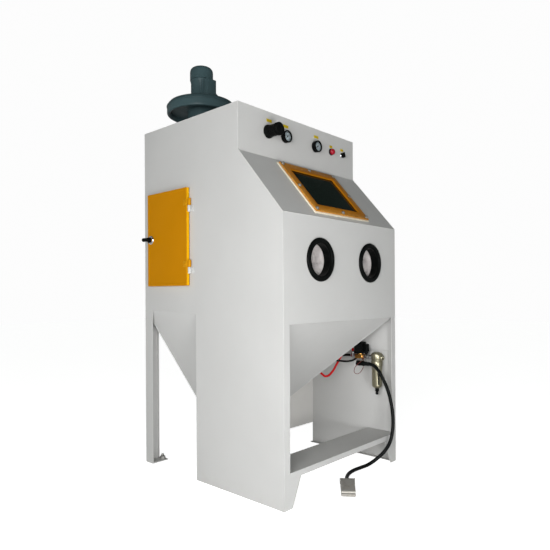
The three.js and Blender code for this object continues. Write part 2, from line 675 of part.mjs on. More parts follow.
// The origin is the middle of the object's footprint, on the floor.
const leftmost = -(DOOR.thick + LATCH.reach);
cabinet.position.set(-(leftmost + WIDTH) / 2, -(DEPTH - RING_PROUD) / 2, 0);

const sandblastCabinet = new THREE.Group();
sandblastCabinet.add(cabinet);
export default sandblastCabinet;
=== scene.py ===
import math

import bmesh
import bpy
from mathutils import Matrix, Vector, noise


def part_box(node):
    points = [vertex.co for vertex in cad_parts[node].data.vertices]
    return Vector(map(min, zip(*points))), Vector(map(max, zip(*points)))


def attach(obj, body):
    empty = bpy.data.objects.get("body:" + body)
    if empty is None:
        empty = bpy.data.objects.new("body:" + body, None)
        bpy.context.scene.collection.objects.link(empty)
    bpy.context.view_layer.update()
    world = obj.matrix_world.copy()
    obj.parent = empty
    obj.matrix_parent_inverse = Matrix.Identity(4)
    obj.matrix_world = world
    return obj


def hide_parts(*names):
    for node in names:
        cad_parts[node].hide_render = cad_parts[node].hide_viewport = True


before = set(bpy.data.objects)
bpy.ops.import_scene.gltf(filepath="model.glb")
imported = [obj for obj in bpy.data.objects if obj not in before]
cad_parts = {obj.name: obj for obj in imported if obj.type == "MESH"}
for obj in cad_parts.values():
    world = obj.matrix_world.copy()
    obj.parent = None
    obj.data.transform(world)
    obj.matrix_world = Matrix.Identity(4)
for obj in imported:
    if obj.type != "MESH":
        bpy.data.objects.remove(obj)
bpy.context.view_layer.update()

bl_info = {
    "name": "Sandblast Cabinet",
    "version": (1, 0, 0),
    "blender": (4, 5, 0),
    "location": "3D View > Sidebar > Blast Cabinet",
    "description": "Builds a sheet-metal blast cabinet with door, gloves, controls and fan",
    "category": "Add Mesh",
}

# Places are written in cabinet millimetres: x from the left face, y from the front plane, z up.
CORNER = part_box("left_side_plate")[0]
WIDTH = 900
DEPTH = 990
HEIGHT = 1755
KNEE = 1236
PANEL_FOOT = 1540
SETBACK = 265
INSTRUMENT_HEIGHT = 1659
PORT_HEIGHT = 1047
PORTS = {"left": 249, "right": 651}
SLOPE = math.atan2(PANEL_FOOT - KNEE, SETBACK)
FORWARD = Vector((0, -1, 0))
UP = Vector((0, 0, 1))
LEFTWARD = Vector((-1, 0, 0))
FAN = (230, 790)
NECK_BOLT_CIRCLE = 88
LID_SCREW_CIRCLE = 183.6


def at(x, y, z):
    """A place in cabinet millimetres, as a point in the row frame, in metres."""
    return CORNER + Vector((x, y, z)) / 1000


def on_slope(x, v, out):
    """A point on the sloping window panel: across, up the slope, and out from its face."""
    return at(x, v * math.cos(SLOPE) - out * math.sin(SLOPE),
              KNEE + v * math.sin(SLOPE) + out * math.cos(SLOPE))


# ---------------------------------------------------------------- settings

class CabinetColours(bpy.types.PropertyGroup):
    """Paint and trim colours"""

    body: bpy.props.FloatVectorProperty(
        name="Body paint", description="Powder coat on the sheet metal", subtype="COLOR",
        size=3, min=0, max=1, default=(0.575, 0.575, 0.565))
    door: bpy.props.FloatVectorProperty(
        name="Door paint", description="Powder coat on the loading door", subtype="COLOR",
        size=3, min=0, max=1, default=(0.56, 0.225, 0.0008))
    window: bpy.props.FloatVectorProperty(
        name="Window frame paint", description="Paint on the frame that holds the glass",
        subtype="COLOR", size=3, min=0, max=1, default=(0.44, 0.155, 0.003))
    fan: bpy.props.FloatVectorProperty(
        name="Fan enamel", description="Enamel on the extraction fan and its motor",
        subtype="COLOR", size=3, min=0, max=1, default=(0.052, 0.090, 0.098))
    glove: bpy.props.FloatVectorProperty(
        name="Glove cloth", description="Cloth of the gloves", subtype="COLOR",
        size=3, min=0, max=1, default=(0.62, 0.585, 0.575))


class CabinetSizes(bpy.types.PropertyGroup):
    """Sizes of the details"""

    fold_radius: bpy.props.FloatProperty(
        name="Fold radius", description="Outside radius of the folded and welded edges",
        subtype="DISTANCE", unit="LENGTH", min=0.001, max=0.006, default=0.0024)
    cable_radius: bpy.props.FloatProperty(
        name="Cable radius", description="Radius of the foot switch cable",
        subtype="DISTANCE", unit="LENGTH", min=0.004, max=0.012, default=0.009)
    cloth_thickness: bpy.props.FloatProperty(
        name="Glove cloth thickness", description="Wall of the glove sleeves",
        subtype="DISTANCE", unit="LENGTH", min=0.0005, max=0.003, default=0.0014)
    lens_width: bpy.props.FloatProperty(
        name="Camera lens", description="Focal length of the camera", subtype="DISTANCE_CAMERA",
        min=20, max=90, default=34.463)


def colours():
    return bpy.context.scene.cabinet_colours


def sizes():
    return bpy.context.scene.cabinet_sizes


# ---------------------------------------------------------------- material nodes

def add_node(tree, kind, **values):
    made = tree.nodes.new(kind)
    for key, value in values.items():
        setattr(made, key, value)
    return made


def feed(tree, source, socket):
    """Links an output to a socket, or sets the socket when source is a plain value."""
    if isinstance(source, bpy.types.NodeSocket):
        tree.links.new(source, socket)
    else:
        socket.default_value = source


def noise_field(tree, coords, scale, detail=3.0, roughness=0.55):
    field = add_node(tree, "ShaderNodeTexNoise")
    feed(tree, coords, field.inputs["Vector"])
    feed(tree, scale, field.inputs["Scale"])
    feed(tree, detail, field.inputs["Detail"])
    feed(tree, roughness, field.inputs["Roughness"])
    return field.outputs["Fac"]


def spread(tree, value, low, high, to_low=0.0, to_high=1.0):
    remap = add_node(tree, "ShaderNodeMapRange")
    feed(tree, value, remap.inputs["Value"])
    for name, number in (("From Min", low), ("From Max", high), ("To Min", to_low),
                         ("To Max", to_high)):
        feed(tree, number, remap.inputs[name])
    return remap.outputs["Result"]


def mix_colour(tree, factor, first, second):
    mix = add_node(tree, "ShaderNodeMix", data_type="RGBA")
    feed(tree, factor, mix.inputs[0])
    feed(tree, first, mix.inputs[6])
    feed(tree, second, mix.inputs[7])
    return mix.outputs[2]


def arithmetic(tree, kind, first, second=0.0):
    step = add_node(tree, "ShaderNodeMath", operation=kind)
    feed(tree, first, step.inputs[0])
    feed(tree, second, step.inputs[1])
    return step.outputs[0]


def new_group(name, inputs, outputs):
    """An empty node group; inputs and outputs map a socket's name to its kind and value."""
    tree = bpy.data.node_groups.new(name, "ShaderNodeTree")
    for label, (kind, value) in inputs.items():
        socket = tree.interface.new_socket(label, in_out="INPUT", socket_type=kind)
        if value is not None:
            socket.default_value = value
    for label, kind in outputs.items():
        tree.interface.new_socket(label, in_out="OUTPUT", socket_type=kind)
    return tree, tree.nodes.new("NodeGroupInput"), tree.nodes.new("NodeGroupOutput")


NUMBER, COLOUR, PLACE = "NodeSocketFloat", "NodeSocketColor", "NodeSocketVector"


def build_groups():
    """The shared surface effects: mottle, grain, floor dust, edge tints (scuffed edges on some
    finishes, painted edge highlights on others), weave.
    """
    tree, given, result = new_group(
        "Mottle", {"Place": (PLACE, None), "Colour": (COLOUR, None), "Tint": (COLOUR, None),
                   "Scale": (NUMBER, 4.0), "Amount": (NUMBER, 0.2)},
        {"Colour": COLOUR, "Mask": NUMBER})
    broad = noise_field(tree, given.outputs["Place"], given.outputs["Scale"], 4.0, 0.6)
    mask = spread(tree, broad, 0.36, 0.66)
    amount = arithmetic(tree, "MULTIPLY", mask, given.outputs["Amount"])
    colour = mix_colour(tree, amount, given.outputs["Colour"], given.outputs["Tint"])
    feed(tree, colour, result.inputs["Colour"])
    feed(tree, mask, result.inputs["Mask"])

    tree, given, result = new_group(
        "Grain", {"Place": (PLACE, None), "Fine": (NUMBER, 700.0), "Wave": (NUMBER, 5.0),
                  "Wave share": (NUMBER, 0.5)}, {"Height": NUMBER})
    fine = noise_field(tree, given.outputs["Place"], given.outputs["Fine"], 2.0, 0.5)
    wave = noise_field(tree, given.outputs["Place"], given.outputs["Wave"], 1.0, 0.4)
    swell = arithmetic(tree, "MULTIPLY", wave, given.outputs["Wave share"])
    feed(tree, arithmetic(tree, "ADD", fine, swell), result.inputs["Height"])

    tree, given, result = new_group(
        "Floor dust", {"Place": (PLACE, None), "Colour": (COLOUR, None),
                       "Dust": (COLOUR, (0.40, 0.36, 0.30, 1)), "Reach": (NUMBER, 0.07),
                       "Amount": (NUMBER, 0.4)}, {"Colour": COLOUR, "Mask": NUMBER})
    split = add_node(tree, "ShaderNodeSeparateXYZ")
    feed(tree, given.outputs["Place"], split.inputs[0])
    low = arithmetic(tree, "DIVIDE", split.outputs["Z"], given.outputs["Reach"])
    near = spread(tree, low, 1.0, 0.0)
    patch = spread(tree, noise_field(tree, given.outputs["Place"], 22.0, 5.0, 0.65), 0.38, 0.72)
    mask = arithmetic(tree, "MULTIPLY", arithmetic(tree, "MULTIPLY", near, patch),
                      given.outputs["Amount"])
    feed(tree, mix_colour(tree, mask, given.outputs["Colour"], given.outputs["Dust"]),
         result.inputs["Colour"])
    feed(tree, mask, result.inputs["Mask"])

    # Edge mask from pointiness broken by noise: for scuffed edges, and for lighter edges that are
    # painted highlights.
    tree, given, result = new_group(
        "Worn and highlighted edges", {"Place": (PLACE, None), "Low": (NUMBER, 0.53), "High": (NUMBER, 0.62),
                       "Amount": (NUMBER, 0.5)}, {"Mask": NUMBER})
    shape = add_node(tree, "ShaderNodeNewGeometry")
    edge = spread(tree, shape.outputs["Pointiness"], given.outputs["Low"],
                  given.outputs["High"])
    breakup = spread(tree, noise_field(tree, given.outputs["Place"], 90.0, 4.0, 0.7), 0.35, 0.6)
    worn_and_lit = arithmetic(tree, "MULTIPLY", edge, breakup)
    feed(tree, arithmetic(tree, "MULTIPLY", worn_and_lit, given.outputs["Amount"]),
         result.inputs["Mask"])

    tree, given, result = new_group(
        "Weave", {"Place": (PLACE, None), "Threads": (NUMBER, 900.0)},
        {"Height": NUMBER, "Mask": NUMBER})
    waves = []
    for direction in ("X", "Y", "Z"):
        wave = add_node(tree, "ShaderNodeTexWave", bands_direction=direction)
        feed(tree, given.outputs["Place"], wave.inputs["Vector"])
        feed(tree, given.outputs["Threads"], wave.inputs["Scale"])
        wave.inputs["Distortion"].default_value = 1.2
        wave.inputs["Detail"].default_value = 1.0
        waves.append(wave.outputs["Fac"])
    cross = arithmetic(tree, "MAXIMUM", arithmetic(tree, "MAXIMUM", waves[0], waves[1]), waves[2])
    fluff = noise_field(tree, given.outputs["Place"], 260.0, 3.0, 0.6)
    feed(tree, arithmetic(tree, "ADD", cross, fluff), result.inputs["Height"])
    feed(tree, cross, result.inputs["Mask"])


def group_node(tree, name, **values):
    used = add_node(tree, "ShaderNodeGroup")
    used.node_tree = bpy.data.node_groups[name]
    for label, value in values.items():
        feed(tree, value, used.inputs[label.replace("_", " ")])
    return used


def rgba(colour):
    return (*colour[:3], 1.0)


def shade(colour, factor):
    return tuple(min(1.0, channel * factor) for channel in colour[:3])


def surface(name, colour, rough, metal=0.0, tint=None, mottle=(4.0, 0.25), grain=(700.0, 0.04),
            wave=(5.0, 0.5), dust=0.0, wear_and_highlight=None, rough_swing=0.08, **constants):
    """A finished material: mottled colour, grain, floor dust and an edge tint as asked; the edge
    tint is scuffed paint on some finishes and a painted highlight on others.
    """
    material = bpy.data.materials.new(name)
    material.use_nodes = True
    tree = material.node_tree
    shader = tree.nodes["Principled BSDF"]
    place = add_node(tree, "ShaderNodeTexCoord").outputs["Object"]
    tint = tint or shade(colour, 0.82)
    mottled = group_node(tree, "Mottle", Place=place, Colour=rgba(colour), Tint=rgba(tint),
                         Scale=mottle[0], Amount=mottle[1])
    paint, mask = mottled.outputs["Colour"], mottled.outputs["Mask"]
    if dust:
        dusty = group_node(tree, "Floor dust", Place=place, Colour=paint, Amount=dust)
        paint = dusty.outputs["Colour"]
    # Tints convex edges: scuffing on most finishes, a lighter painted highlight on the door and
    # window frame.
    if wear_and_highlight:
        worn_and_lit = group_node(tree, "Worn and highlighted edges", Place=place, Amount=wear_and_highlight[1])
        paint = mix_colour(tree, worn_and_lit.outputs["Mask"], paint, rgba(wear_and_highlight[0]))
    feed(tree, paint, shader.inputs["Base Color"])
    feed(tree, spread(tree, mask, 0, 1, rough - rough_swing, rough + rough_swing),
         shader.inputs["Roughness"])
    shader.inputs["Metallic"].default_value = metal
    shader.inputs["Specular IOR Level"].default_value = 0.5 if metal > 0.5 else 0.09
    textured = group_node(tree, "Grain", Place=place, Fine=grain[0], Wave=wave[0],
                          Wave_share=wave[1])
    bump = add_node(tree, "ShaderNodeBump")
    bump.inputs["Strength"].default_value = grain[1]
    bump.inputs["Distance"].default_value = 0.002
    feed(tree, textured.outputs["Height"], bump.inputs["Height"])
    feed(tree, bump.outputs["Normal"], shader.inputs["Normal"])
    for label, value in constants.items():
        shader.inputs[label.replace("_", " ")].default_value = value
    return material


def cloth_surface(name, colour):
    material = surface(name, colour, 0.92, tint=shade(colour, 0.78), mottle=(26.0, 0.45),
                       rough_swing=0.04, Sheen_Weight=0.35, Sheen_Roughness=0.5)
    tree = material.node_tree
    shader = tree.nodes["Principled BSDF"]
    place = add_node(tree, "ShaderNodeTexCoord").outputs["Object"]
    woven = group_node(tree, "Weave", Place=place, Threads=260.0)
    bump = add_node(tree, "ShaderNodeBump")
    bump.inputs["Strength"].default_value = 0.35
    bump.inputs["Distance"].default_value = 0.0006
    feed(tree, woven.outputs["Height"], bump.inputs["Height"])
    feed(tree, bump.outputs["Normal"], shader.inputs["Normal"])
    return material


def clear_surface(name, colour, rough=0.04):
    material = surface(name, colour, rough, mottle=(8.0, 0.1), grain=(300.0, 0.004),
                       rough_swing=0.015)
    shader = material.node_tree.nodes["Principled BSDF"]
    shader.inputs["Transmission Weight"].default_value = 1.0
    shader.inputs["IOR"].default_value = 1.45
    return material


MATERIALS = {}


def make_materials():
    """Every finish of the cabinet, by a short name."""
    paints = colours()
    bare = (0.42, 0.42, 0.40)
    MATERIALS.update({
        "body": surface("Body powder coat", paints.body, 0.46, tint=shade(paints.body, 0.93),
                        mottle=(2.2, 0.5), grain=(520.0, 0.05), wave=(3.0, 2.2), dust=0.16),
        # Inner paint: a warm tone lighter than the body paint, brightened further as painted light
        # so the panel in shade under the hopper reads lit.
        "inner": surface("Inner panel paint brightened as painted light", (0.72, 0.71, 0.685), 0.5, mottle=(2.2, 0.5),
                         grain=(520.0, 0.05), wave=(3.0, 2.2), dust=0.2),
        # Fold paint is the body paint made 6% lighter, a painted highlight along the folded edges;
        # its darker edge tint is scuffing.
        "folds": surface("Folded edge paint with painted highlight", shade(paints.body, 1.06), 0.42,
                         mottle=(9.0, 0.3), grain=(520.0, 0.05), dust=0.35,
                         wear_and_highlight=(shade(paints.body, 0.7), 0.3)),
        # The door's lighter yellow edge tint is a painted highlight along its edges.
        "door": surface("Door powder coat", paints.door, 0.42,
                        tint=shade(paints.door, 0.85), mottle=(5.0, 0.35),
                        grain=(520.0, 0.05), wave=(3.0, 2.0), wear_and_highlight=((0.80, 0.50, 0.03), 0.6),
                        Specular_IOR_Level=0.035),
        # A brighter copy of the door yellow for the door's edge faces: a painted highlight where
        # the front light falls on them.
        "door_edge_highlight": surface("Door edge painted highlight", (0.80, 0.42, 0.002), 0.40,
                             tint=(0.70, 0.33, 0.002), mottle=(8.0, 0.4), grain=(520.0, 0.05)),
        # The frame's lighter gold edge tint is partly scuffing and partly a painted highlight
        # along the inner edge.
        "frame": surface("Window frame paint", paints.window, 0.45,
                         tint=(0.42, 0.15, 0.01), mottle=(30.0, 0.45), grain=(400.0, 0.08),
                         wear_and_highlight=((0.80, 0.55, 0.2), 0.7), Specular_IOR_Level=0.05),
        "seal": surface("Pale window seal", (0.80, 0.74, 0.60), 0.6,
                        tint=(0.62, 0.52, 0.36), mottle=(24.0, 0.4), grain=(600.0, 0.12)),
        # Near-black opaque glass: painted shade standing for the dark chamber behind the window.
        "glass": surface("Window glass painted with chamber shade", (0.003, 0.010, 0.007), 0.10, mottle=(6.0, 0.3),
                         grain=(40.0, 0.003), wave=(8.0, 1.0), rough_swing=0.03,
                         Specular_IOR_Level=0.16),
        "fan": surface("Fan enamel", paints.fan, 0.38, tint=shade(paints.fan, 0.72),
                       mottle=(11.0, 0.45), grain=(300.0, 0.10), wave=(14.0, 1.0),
                       Specular_IOR_Level=0.15),
        "black": surface("Black moulded plastic", (0.0025, 0.003, 0.003), 0.40,
                         tint=(0.006, 0.007, 0.006), mottle=(40.0, 0.5),
                         grain=(1400.0, 0.08), wear_and_highlight=((0.02, 0.02, 0.019), 0.3),
                         Specular_IOR_Level=0.045),
        "rubber": surface("Black rubber", (0.006, 0.006, 0.006), 0.55,
                          tint=(0.018, 0.017, 0.016), mottle=(60.0, 0.5),
                          grain=(900.0, 0.18), dust=0.3),
        "cable": surface("Cable sheath", (0.003, 0.004, 0.004), 0.34,
                         tint=(0.008, 0.009, 0.009), mottle=(50.0, 0.5),
                         grain=(800.0, 0.06)),
        "red_hose": surface("Red hose", (0.62, 0.012, 0.012), 0.32, tint=(0.38, 0.006, 0.01),
                            mottle=(40.0, 0.4), grain=(700.0, 0.05)),
        "steel": surface("Bright steel", (0.60, 0.61, 0.62), 0.28, 1.0,
                         tint=(0.42, 0.42, 0.42), mottle=(55.0, 0.5),
                         grain=(900.0, 0.06)),
        "dull_steel": surface("Dull steel", bare, 0.46, 0.9, tint=(0.22, 0.21, 0.20),
                              mottle=(35.0, 0.6), grain=(500.0, 0.12)),
        "chrome": surface("Chrome plate", (0.78, 0.80, 0.82), 0.12, 1.0,
                          tint=(0.6, 0.62, 0.64), mottle=(30.0, 0.4), grain=(600.0, 0.01),
                          rough_swing=0.05),
        "brass": surface("Brass", (0.66, 0.36, 0.10), 0.26, 1.0, tint=(0.42, 0.20, 0.05),
                         mottle=(60.0, 0.55), grain=(500.0, 0.10)),
        "alloy": surface("Champagne alloy", (0.36, 0.335, 0.235), 0.34, 0.85,
                         tint=(0.20, 0.185, 0.125), mottle=(45.0, 0.5), grain=(700.0, 0.08),
                         wear_and_highlight=((0.75, 0.74, 0.66), 0.5)),
        "switch": surface("Foot switch casting", (0.33, 0.32, 0.30), 0.5, 0.25,
                          tint=(0.22, 0.21, 0.19), mottle=(30.0, 0.5), grain=(420.0, 0.25),
                          dust=0.5, wear_and_highlight=((0.62, 0.60, 0.55), 0.8)),
        "switch_edge": surface("Foot switch edge", (0.62, 0.60, 0.55), 0.55,
                               tint=(0.45, 0.43, 0.38), mottle=(50.0, 0.5),
                               grain=(420.0, 0.2)),
        "label": surface("Yellow label", (0.62, 0.46, 0.012), 0.5, tint=(0.40, 0.29, 0.01),
                         mottle=(180.0, 0.5), grain=(900.0, 0.05)),
        "dial": surface("Dial face", (0.70, 0.76, 0.78), 0.35, tint=(0.58, 0.66, 0.70),
                        mottle=(30.0, 0.4), grain=(900.0, 0.02)),
        "lamp_red": surface("Red lens", (0.42, 0.002, 0.02), 0.12, tint=(0.25, 0.0, 0.01),
                            mottle=(90.0, 0.5), grain=(500.0, 0.03), Coat_Weight=0.8),
        "wire": surface("Brown wire", (0.16, 0.03, 0.025), 0.4, mottle=(80.0, 0.4)),
        "clear": clear_surface("Clear lens", (0.92, 0.96, 0.98)),
        "cloth": cloth_surface("Glove cloth", paints.glove),
        "floor": surface("Studio floor", (0.90, 0.90, 0.90), 0.75, mottle=(1.5, 0.1),
                         grain=(60.0, 0.01), Emission_Color=(1.0, 1.0, 1.0, 1.0)),
    })
    tree = MATERIALS["floor"].node_tree
    seen = add_node(tree, "ShaderNodeLightPath").outputs["Is Camera Ray"]
    feed(tree, spread(tree, seen, 0, 1, 0.16, 0.88),
         tree.nodes["Principled BSDF"].inputs["Emission Strength"])


def paint(piece, finish):
    piece.data.materials.clear()
    piece.data.materials.append(MATERIALS[finish])


def paint_node(name, finish):
    """Gives a carried-over CAD node its finish."""
    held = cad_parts[name]
    held = held if isinstance(held, bpy.types.Object) else bpy.data.objects[name]
    paint(held, finish)


# ---------------------------------------------------------------- modelling steps

def begin():
    """Object mode with nothing selected, so that the next tool touches only the new piece."""
    active = bpy.context.view_layer.objects.active
    if active and active.mode != "OBJECT":
        bpy.ops.object.mode_set(mode="OBJECT")
    bpy.ops.object.select_all(action="DESELECT")


def hold(piece):
    begin()
    piece.select_set(True)
    bpy.context.view_layer.objects.active = piece


def fresh(name):
    """Names the primitive just added and moves its place into its mesh."""
    piece = bpy.context.object
    piece.name = piece.data.name = name
    bpy.ops.object.transform_apply(location=True, rotation=True, scale=True)
    return piece


def pick(piece, kind, rule):
    """In edit mode, selects the vertices, edges or faces that the rule accepts."""
    bpy.ops.mesh.select_mode(type=kind)
    bpy.ops.mesh.select_all(action="DESELECT")
    mesh = bmesh.from_edit_mesh(piece.data)
    parts = {"VERT": mesh.verts, "EDGE": mesh.edges, "FACE": mesh.faces}[kind]
    parts.ensure_lookup_table()
    for part in parts:
        if rule(part):
            part.select_set(True)
    mesh.select_flush_mode()
    bmesh.update_edit_mesh(piece.data)


def faces_towards(direction, limit=0.9):
    direction = Vector(direction).normalized()
    return lambda face: face.normal.dot(direction) > limit


def edit(piece):
    hold(piece)
    bpy.ops.object.mode_set(mode="EDIT")


def finish_mesh(piece, smooth=35, close_normals=True):
    """Leaves edit mode with faces outwards and smooth shading up to the given angle."""
    if piece.mode == "EDIT" and close_normals:
        bpy.ops.mesh.select_mode(type="FACE")
        bpy.ops.mesh.select_all(action="SELECT")
        bpy.ops.mesh.normals_make_consistent(inside=False)
    begin()
    hold(piece)
    bpy.ops.object.shade_smooth_by_angle(angle=math.radians(smooth))
    return piece


def soften(piece, width, segments=2, rule=None):
    """Rounds the piece's sharp edges, or those that the rule accepts."""
    if piece.mode != "EDIT":
        edit(piece)
    sharp = rule or (lambda edge: edge.is_manifold and edge.calc_face_angle(0) > 0.5)
    pick(piece, "EDGE", sharp)
    bpy.ops.mesh.bevel(offset=width, segments=segments, affect="EDGES")


def block(name, low, high, edge=0.0015, segments=2, turn=None):
    """A box between two corners in cabinet millimetres, with rounded edges."""
    begin()
    low, high = at(*low), at(*high)
    size = [abs(b - a) for a, b in zip(low, high)]
    bpy.ops.mesh.primitive_cube_add(size=1, location=(low + high) / 2, scale=size)
    piece = fresh(name)
    if turn:
        piece.matrix_world = turn
        bpy.ops.object.transform_apply(location=True, rotation=True, scale=True)
    if edge:
        soften(piece, edge, segments)
    return finish_mesh(piece)


def turned(name, profile, base, axis=UP, sides=48, ring=False, edge=0.0, smooth=32):
    """A turned piece. A circle at the profile's first point is extruded and scaled to each
    further point, given as (radius, distance along the axis) in millimetres. A ring's
    profile comes back to its first point."""
    begin()
    axis = Vector(axis).normalized()
    radius, step = profile[0][0] / 1000, profile[0][1] / 1000
    bpy.ops.mesh.primitive_circle_add(
        vertices=sides, radius=radius, fill_type="NOTHING" if ring else "NGON",
        location=base + axis * step, rotation=axis.to_track_quat("Z", "Y").to_euler())
    piece = fresh(name)
    edit(piece)
    bpy.ops.mesh.select_mode(type="VERT")
    bpy.ops.mesh.select_all(action="SELECT")
    for next_radius, next_step in profile[1:]:
        next_radius, next_step = next_radius / 1000, next_step / 1000
        bpy.ops.mesh.extrude_region_move(
            TRANSFORM_OT_translate={"value": axis * (next_step - step)})
        ratio = next_radius / radius
        if abs(ratio - 1) > 1e-5:
            bpy.ops.transform.resize(value=(ratio,) * 3, center_override=base + axis * next_step)
        radius, step = next_radius, next_step
    if ring:
        bpy.ops.mesh.select_all(action="SELECT")
        bpy.ops.mesh.remove_doubles(threshold=0.00002)
    if edge:
        bpy.ops.mesh.select_all(action="SELECT")
        bpy.ops.mesh.normals_make_consistent(inside=False)
        soften(piece, edge)
    return finish_mesh(piece, smooth)


def rounded(radius, low, high, edge):
    """The profile of a plain bar with rounded ends."""
    return [(radius - edge, low), (radius - edge * 0.3, low + edge * 0.3), (radius, low + edge),
            (radius, high - edge), (radius - edge * 0.3, high - edge * 0.3),
            (radius - edge, high)]


def smooth_route(points, spacing=0.004):
    """Points at even steps along a centripetal curve through the given ones."""
    ends = [points[0] * 2 - points[1], *points, points[-1] * 2 - points[-2]]
    route = [points[0]]
    for a, b, c, d in zip(ends, ends[1:], ends[2:], ends[3:]):
        knots = [0.0]
        for p, q in ((a, b), (b, c), (c, d)):
            knots.append(knots[-1] + max((q - p).length, 1e-6) ** 0.5)
        count = max(1, round((c - b).length / spacing))
        for i in range(1, count + 1):
            t = knots[1] + (knots[2] - knots[1]) * i / count
            lift = lambda p, q, lo, hi: p * ((hi - t) / (hi - lo)) + q * ((t - lo) / (hi - lo))
            one, two, three = (lift(a, b, knots[0], knots[1]), lift(b, c, knots[1], knots[2]),
                               lift(c, d, knots[2], knots[3]))
            four, five = lift(one, two, knots[0], knots[2]), lift(two, three, knots[1], knots[3])
            route.append(lift(four, five, knots[1], knots[2]))
    return route


def pipe(name, route, radius, rings=6):
    """A round tube along a route: a bevelled curve with closed ends, made a mesh."""
    begin()
    bpy.ops.curve.primitive_nurbs_path_add(radius=0.01)
    piece = bpy.context.object
    piece.location = (0, 0, 0)
    curve = piece.data
    curve.splines.clear()
    line = curve.splines.new("POLY")
    line.points.add(len(route) - 1)
    for spot, place in zip(line.points, route):
        spot.co = (*place, 1)
    curve.bevel_depth, curve.bevel_resolution = radius, rings
    curve.use_fill_caps = True
    bpy.ops.object.convert(target="MESH")
    piece = fresh(name)
    edit(piece)
    bpy.ops.mesh.select_all(action="SELECT")
    bpy.ops.mesh.remove_doubles(threshold=0.00001)
    return finish_mesh(piece, 50)


def join(name, *pieces):
    hold(pieces[0])
    for piece in pieces[1:]:
        piece.select_set(True)
    if len(pieces) > 1:
        bpy.ops.object.join()
    pieces[0].name = pieces[0].data.name = name
    return pieces[0]


def copied(piece, name, matrix):
    """A copy with its own mesh, its place kept in the mesh."""
    twin = piece.copy()
    twin.data = piece.data.copy()
    twin.name = twin.data.name = name
    bpy.context.scene.collection.objects.link(twin)
    twin.data.transform(matrix)
    return twin


def apply_all(piece):
    hold(piece)
    for modifier in list(piece.modifiers):
        bpy.ops.object.modifier_apply(modifier=modifier.name)
    return piece


def carve(piece, *cutters):
    """Cuts the cutters' shapes out of the piece and removes them."""
    for cutter in cutters:
        modifier = piece.modifiers.new("Cut", "BOOLEAN")
        modifier.operation, modifier.solver, modifier.object = "DIFFERENCE", "EXACT", cutter
        apply_all(piece)
        bpy.data.objects.remove(cutter, do_unlink=True)
    return finish_mesh(piece)


def settle(piece, body, slot, finish, *replaced):
    """Finish, body and the CAD nodes that the piece stands for. The slot argument is not used."""
    if finish:
        paint(piece, finish)
    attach(piece, body)
    if replaced:
        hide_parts(*replaced)
    return piece


def spin_about(centre, axis, angle):
    return (Matrix.Translation(centre) @ Matrix.Rotation(angle, 4, axis)
            @ Matrix.Translation(-centre))


# ---------------------------------------------------------------- operators

class CABINET_OT_stage(bpy.types.Operator):
    """Camera, pale floor and soft studio light"""

    bl_idname = "cabinet.stage"
    bl_label = "Stage"

    def execute(self, context):
        camera = bpy.data.objects.new("Camera", bpy.data.cameras.new("Camera"))
        context.scene.collection.objects.link(camera)
        camera.data.sensor_width = 36
        camera.data.lens = sizes().lens_width
        camera.data.shift_y = 0.0331
        camera.data.clip_end = 100
        camera.location = at(-1611.5, -1433.5, 899.0)
        camera.rotation_euler = (math.radians(90), 0, math.radians(-47.4478))
        camera.rotation_euler.rotate_axis("Z", math.radians(-0.303))
        context.scene.camera = camera
        context.scene.view_settings.view_transform = "Standard"

        begin()
        bpy.ops.mesh.primitive_plane_add(size=30, location=(0, 0, 0))
        floor = fresh("floor")
        edit(floor)
        bpy.ops.mesh.subdivide(number_cuts=2)
        finish_mesh(floor)
        paint(floor, "floor")

        world = context.scene.world or bpy.data.worlds.new("Studio")
        context.scene.world = world
        world.use_nodes = True
        sky = world.node_tree
        place = add_node(sky, "ShaderNodeTexCoord").outputs["Generated"]
        split = add_node(sky, "ShaderNodeSeparateXYZ")
        feed(sky, place, split.inputs[0])
        high = spread(sky, split.outputs["Z"], 0.02, 0.60)
        glow = mix_colour(sky, high, (0.49, 0.50, 0.50, 1), (0.05, 0.055, 0.05, 1))
        seen = add_node(sky, "ShaderNodeLightPath").outputs["Is Camera Ray"]
        tone = mix_colour(sky, seen, glow, (1.0, 1.0, 1.0, 1))
        feed(sky, tone, sky.nodes["Background"].inputs["Color"])
        sky.nodes["Background"].inputs["Strength"].default_value = 0.98

        target = at(420, 420, 900)
        for name, place, size, power in (
            ("key", (-2.75, -1.55, 1.15), 1.5, 57),
            ("low fill", (-1.2, -2.6, 0.22), 0.8, 34),
        ):
            light = bpy.data.objects.new(name, bpy.data.lights.new(name, "AREA"))
            context.scene.collection.objects.link(light)
            light.data.shape, light.data.size, light.data.energy = "DISK", size, power
            light.location = place
            light.rotation_euler = (target - light.location).to_track_quat("-Z", "Y").to_euler()
        return {"FINISHED"}


CABLE_ROUTE = (
    (800, 117.3, 518), (800, 92, 517), (799, 66, 509), (798, 42, 488), (799, 20, 455),
    (802, 0, 415), (806, -16, 370), (809, -27, 320), (810, -34, 270), (806, -38, 220),
    (797, -38, 172), (784, -31, 125), (766, -10, 80), (738, 20, 42), (700, 45, 17),
    (655, 60, 9.8), (605, 64, 9.5), (550, 57, 9.5), (500, 37, 10.5),
)
PEDAL_PLACE = (359, -65, 0)
PEDAL_TURN = math.radians(-52.4)
PEDAL_HALF = 60


def by_pedal(x, y, z):
    """A place in the foot switch's own frame, -y towards the toe, as a point in metres."""
    turn = Matrix.Rotation(PEDAL_TURN, 4, "Z")
    return at(*PEDAL_PLACE) + turn @ (Vector((x, y, z)) / 1000)


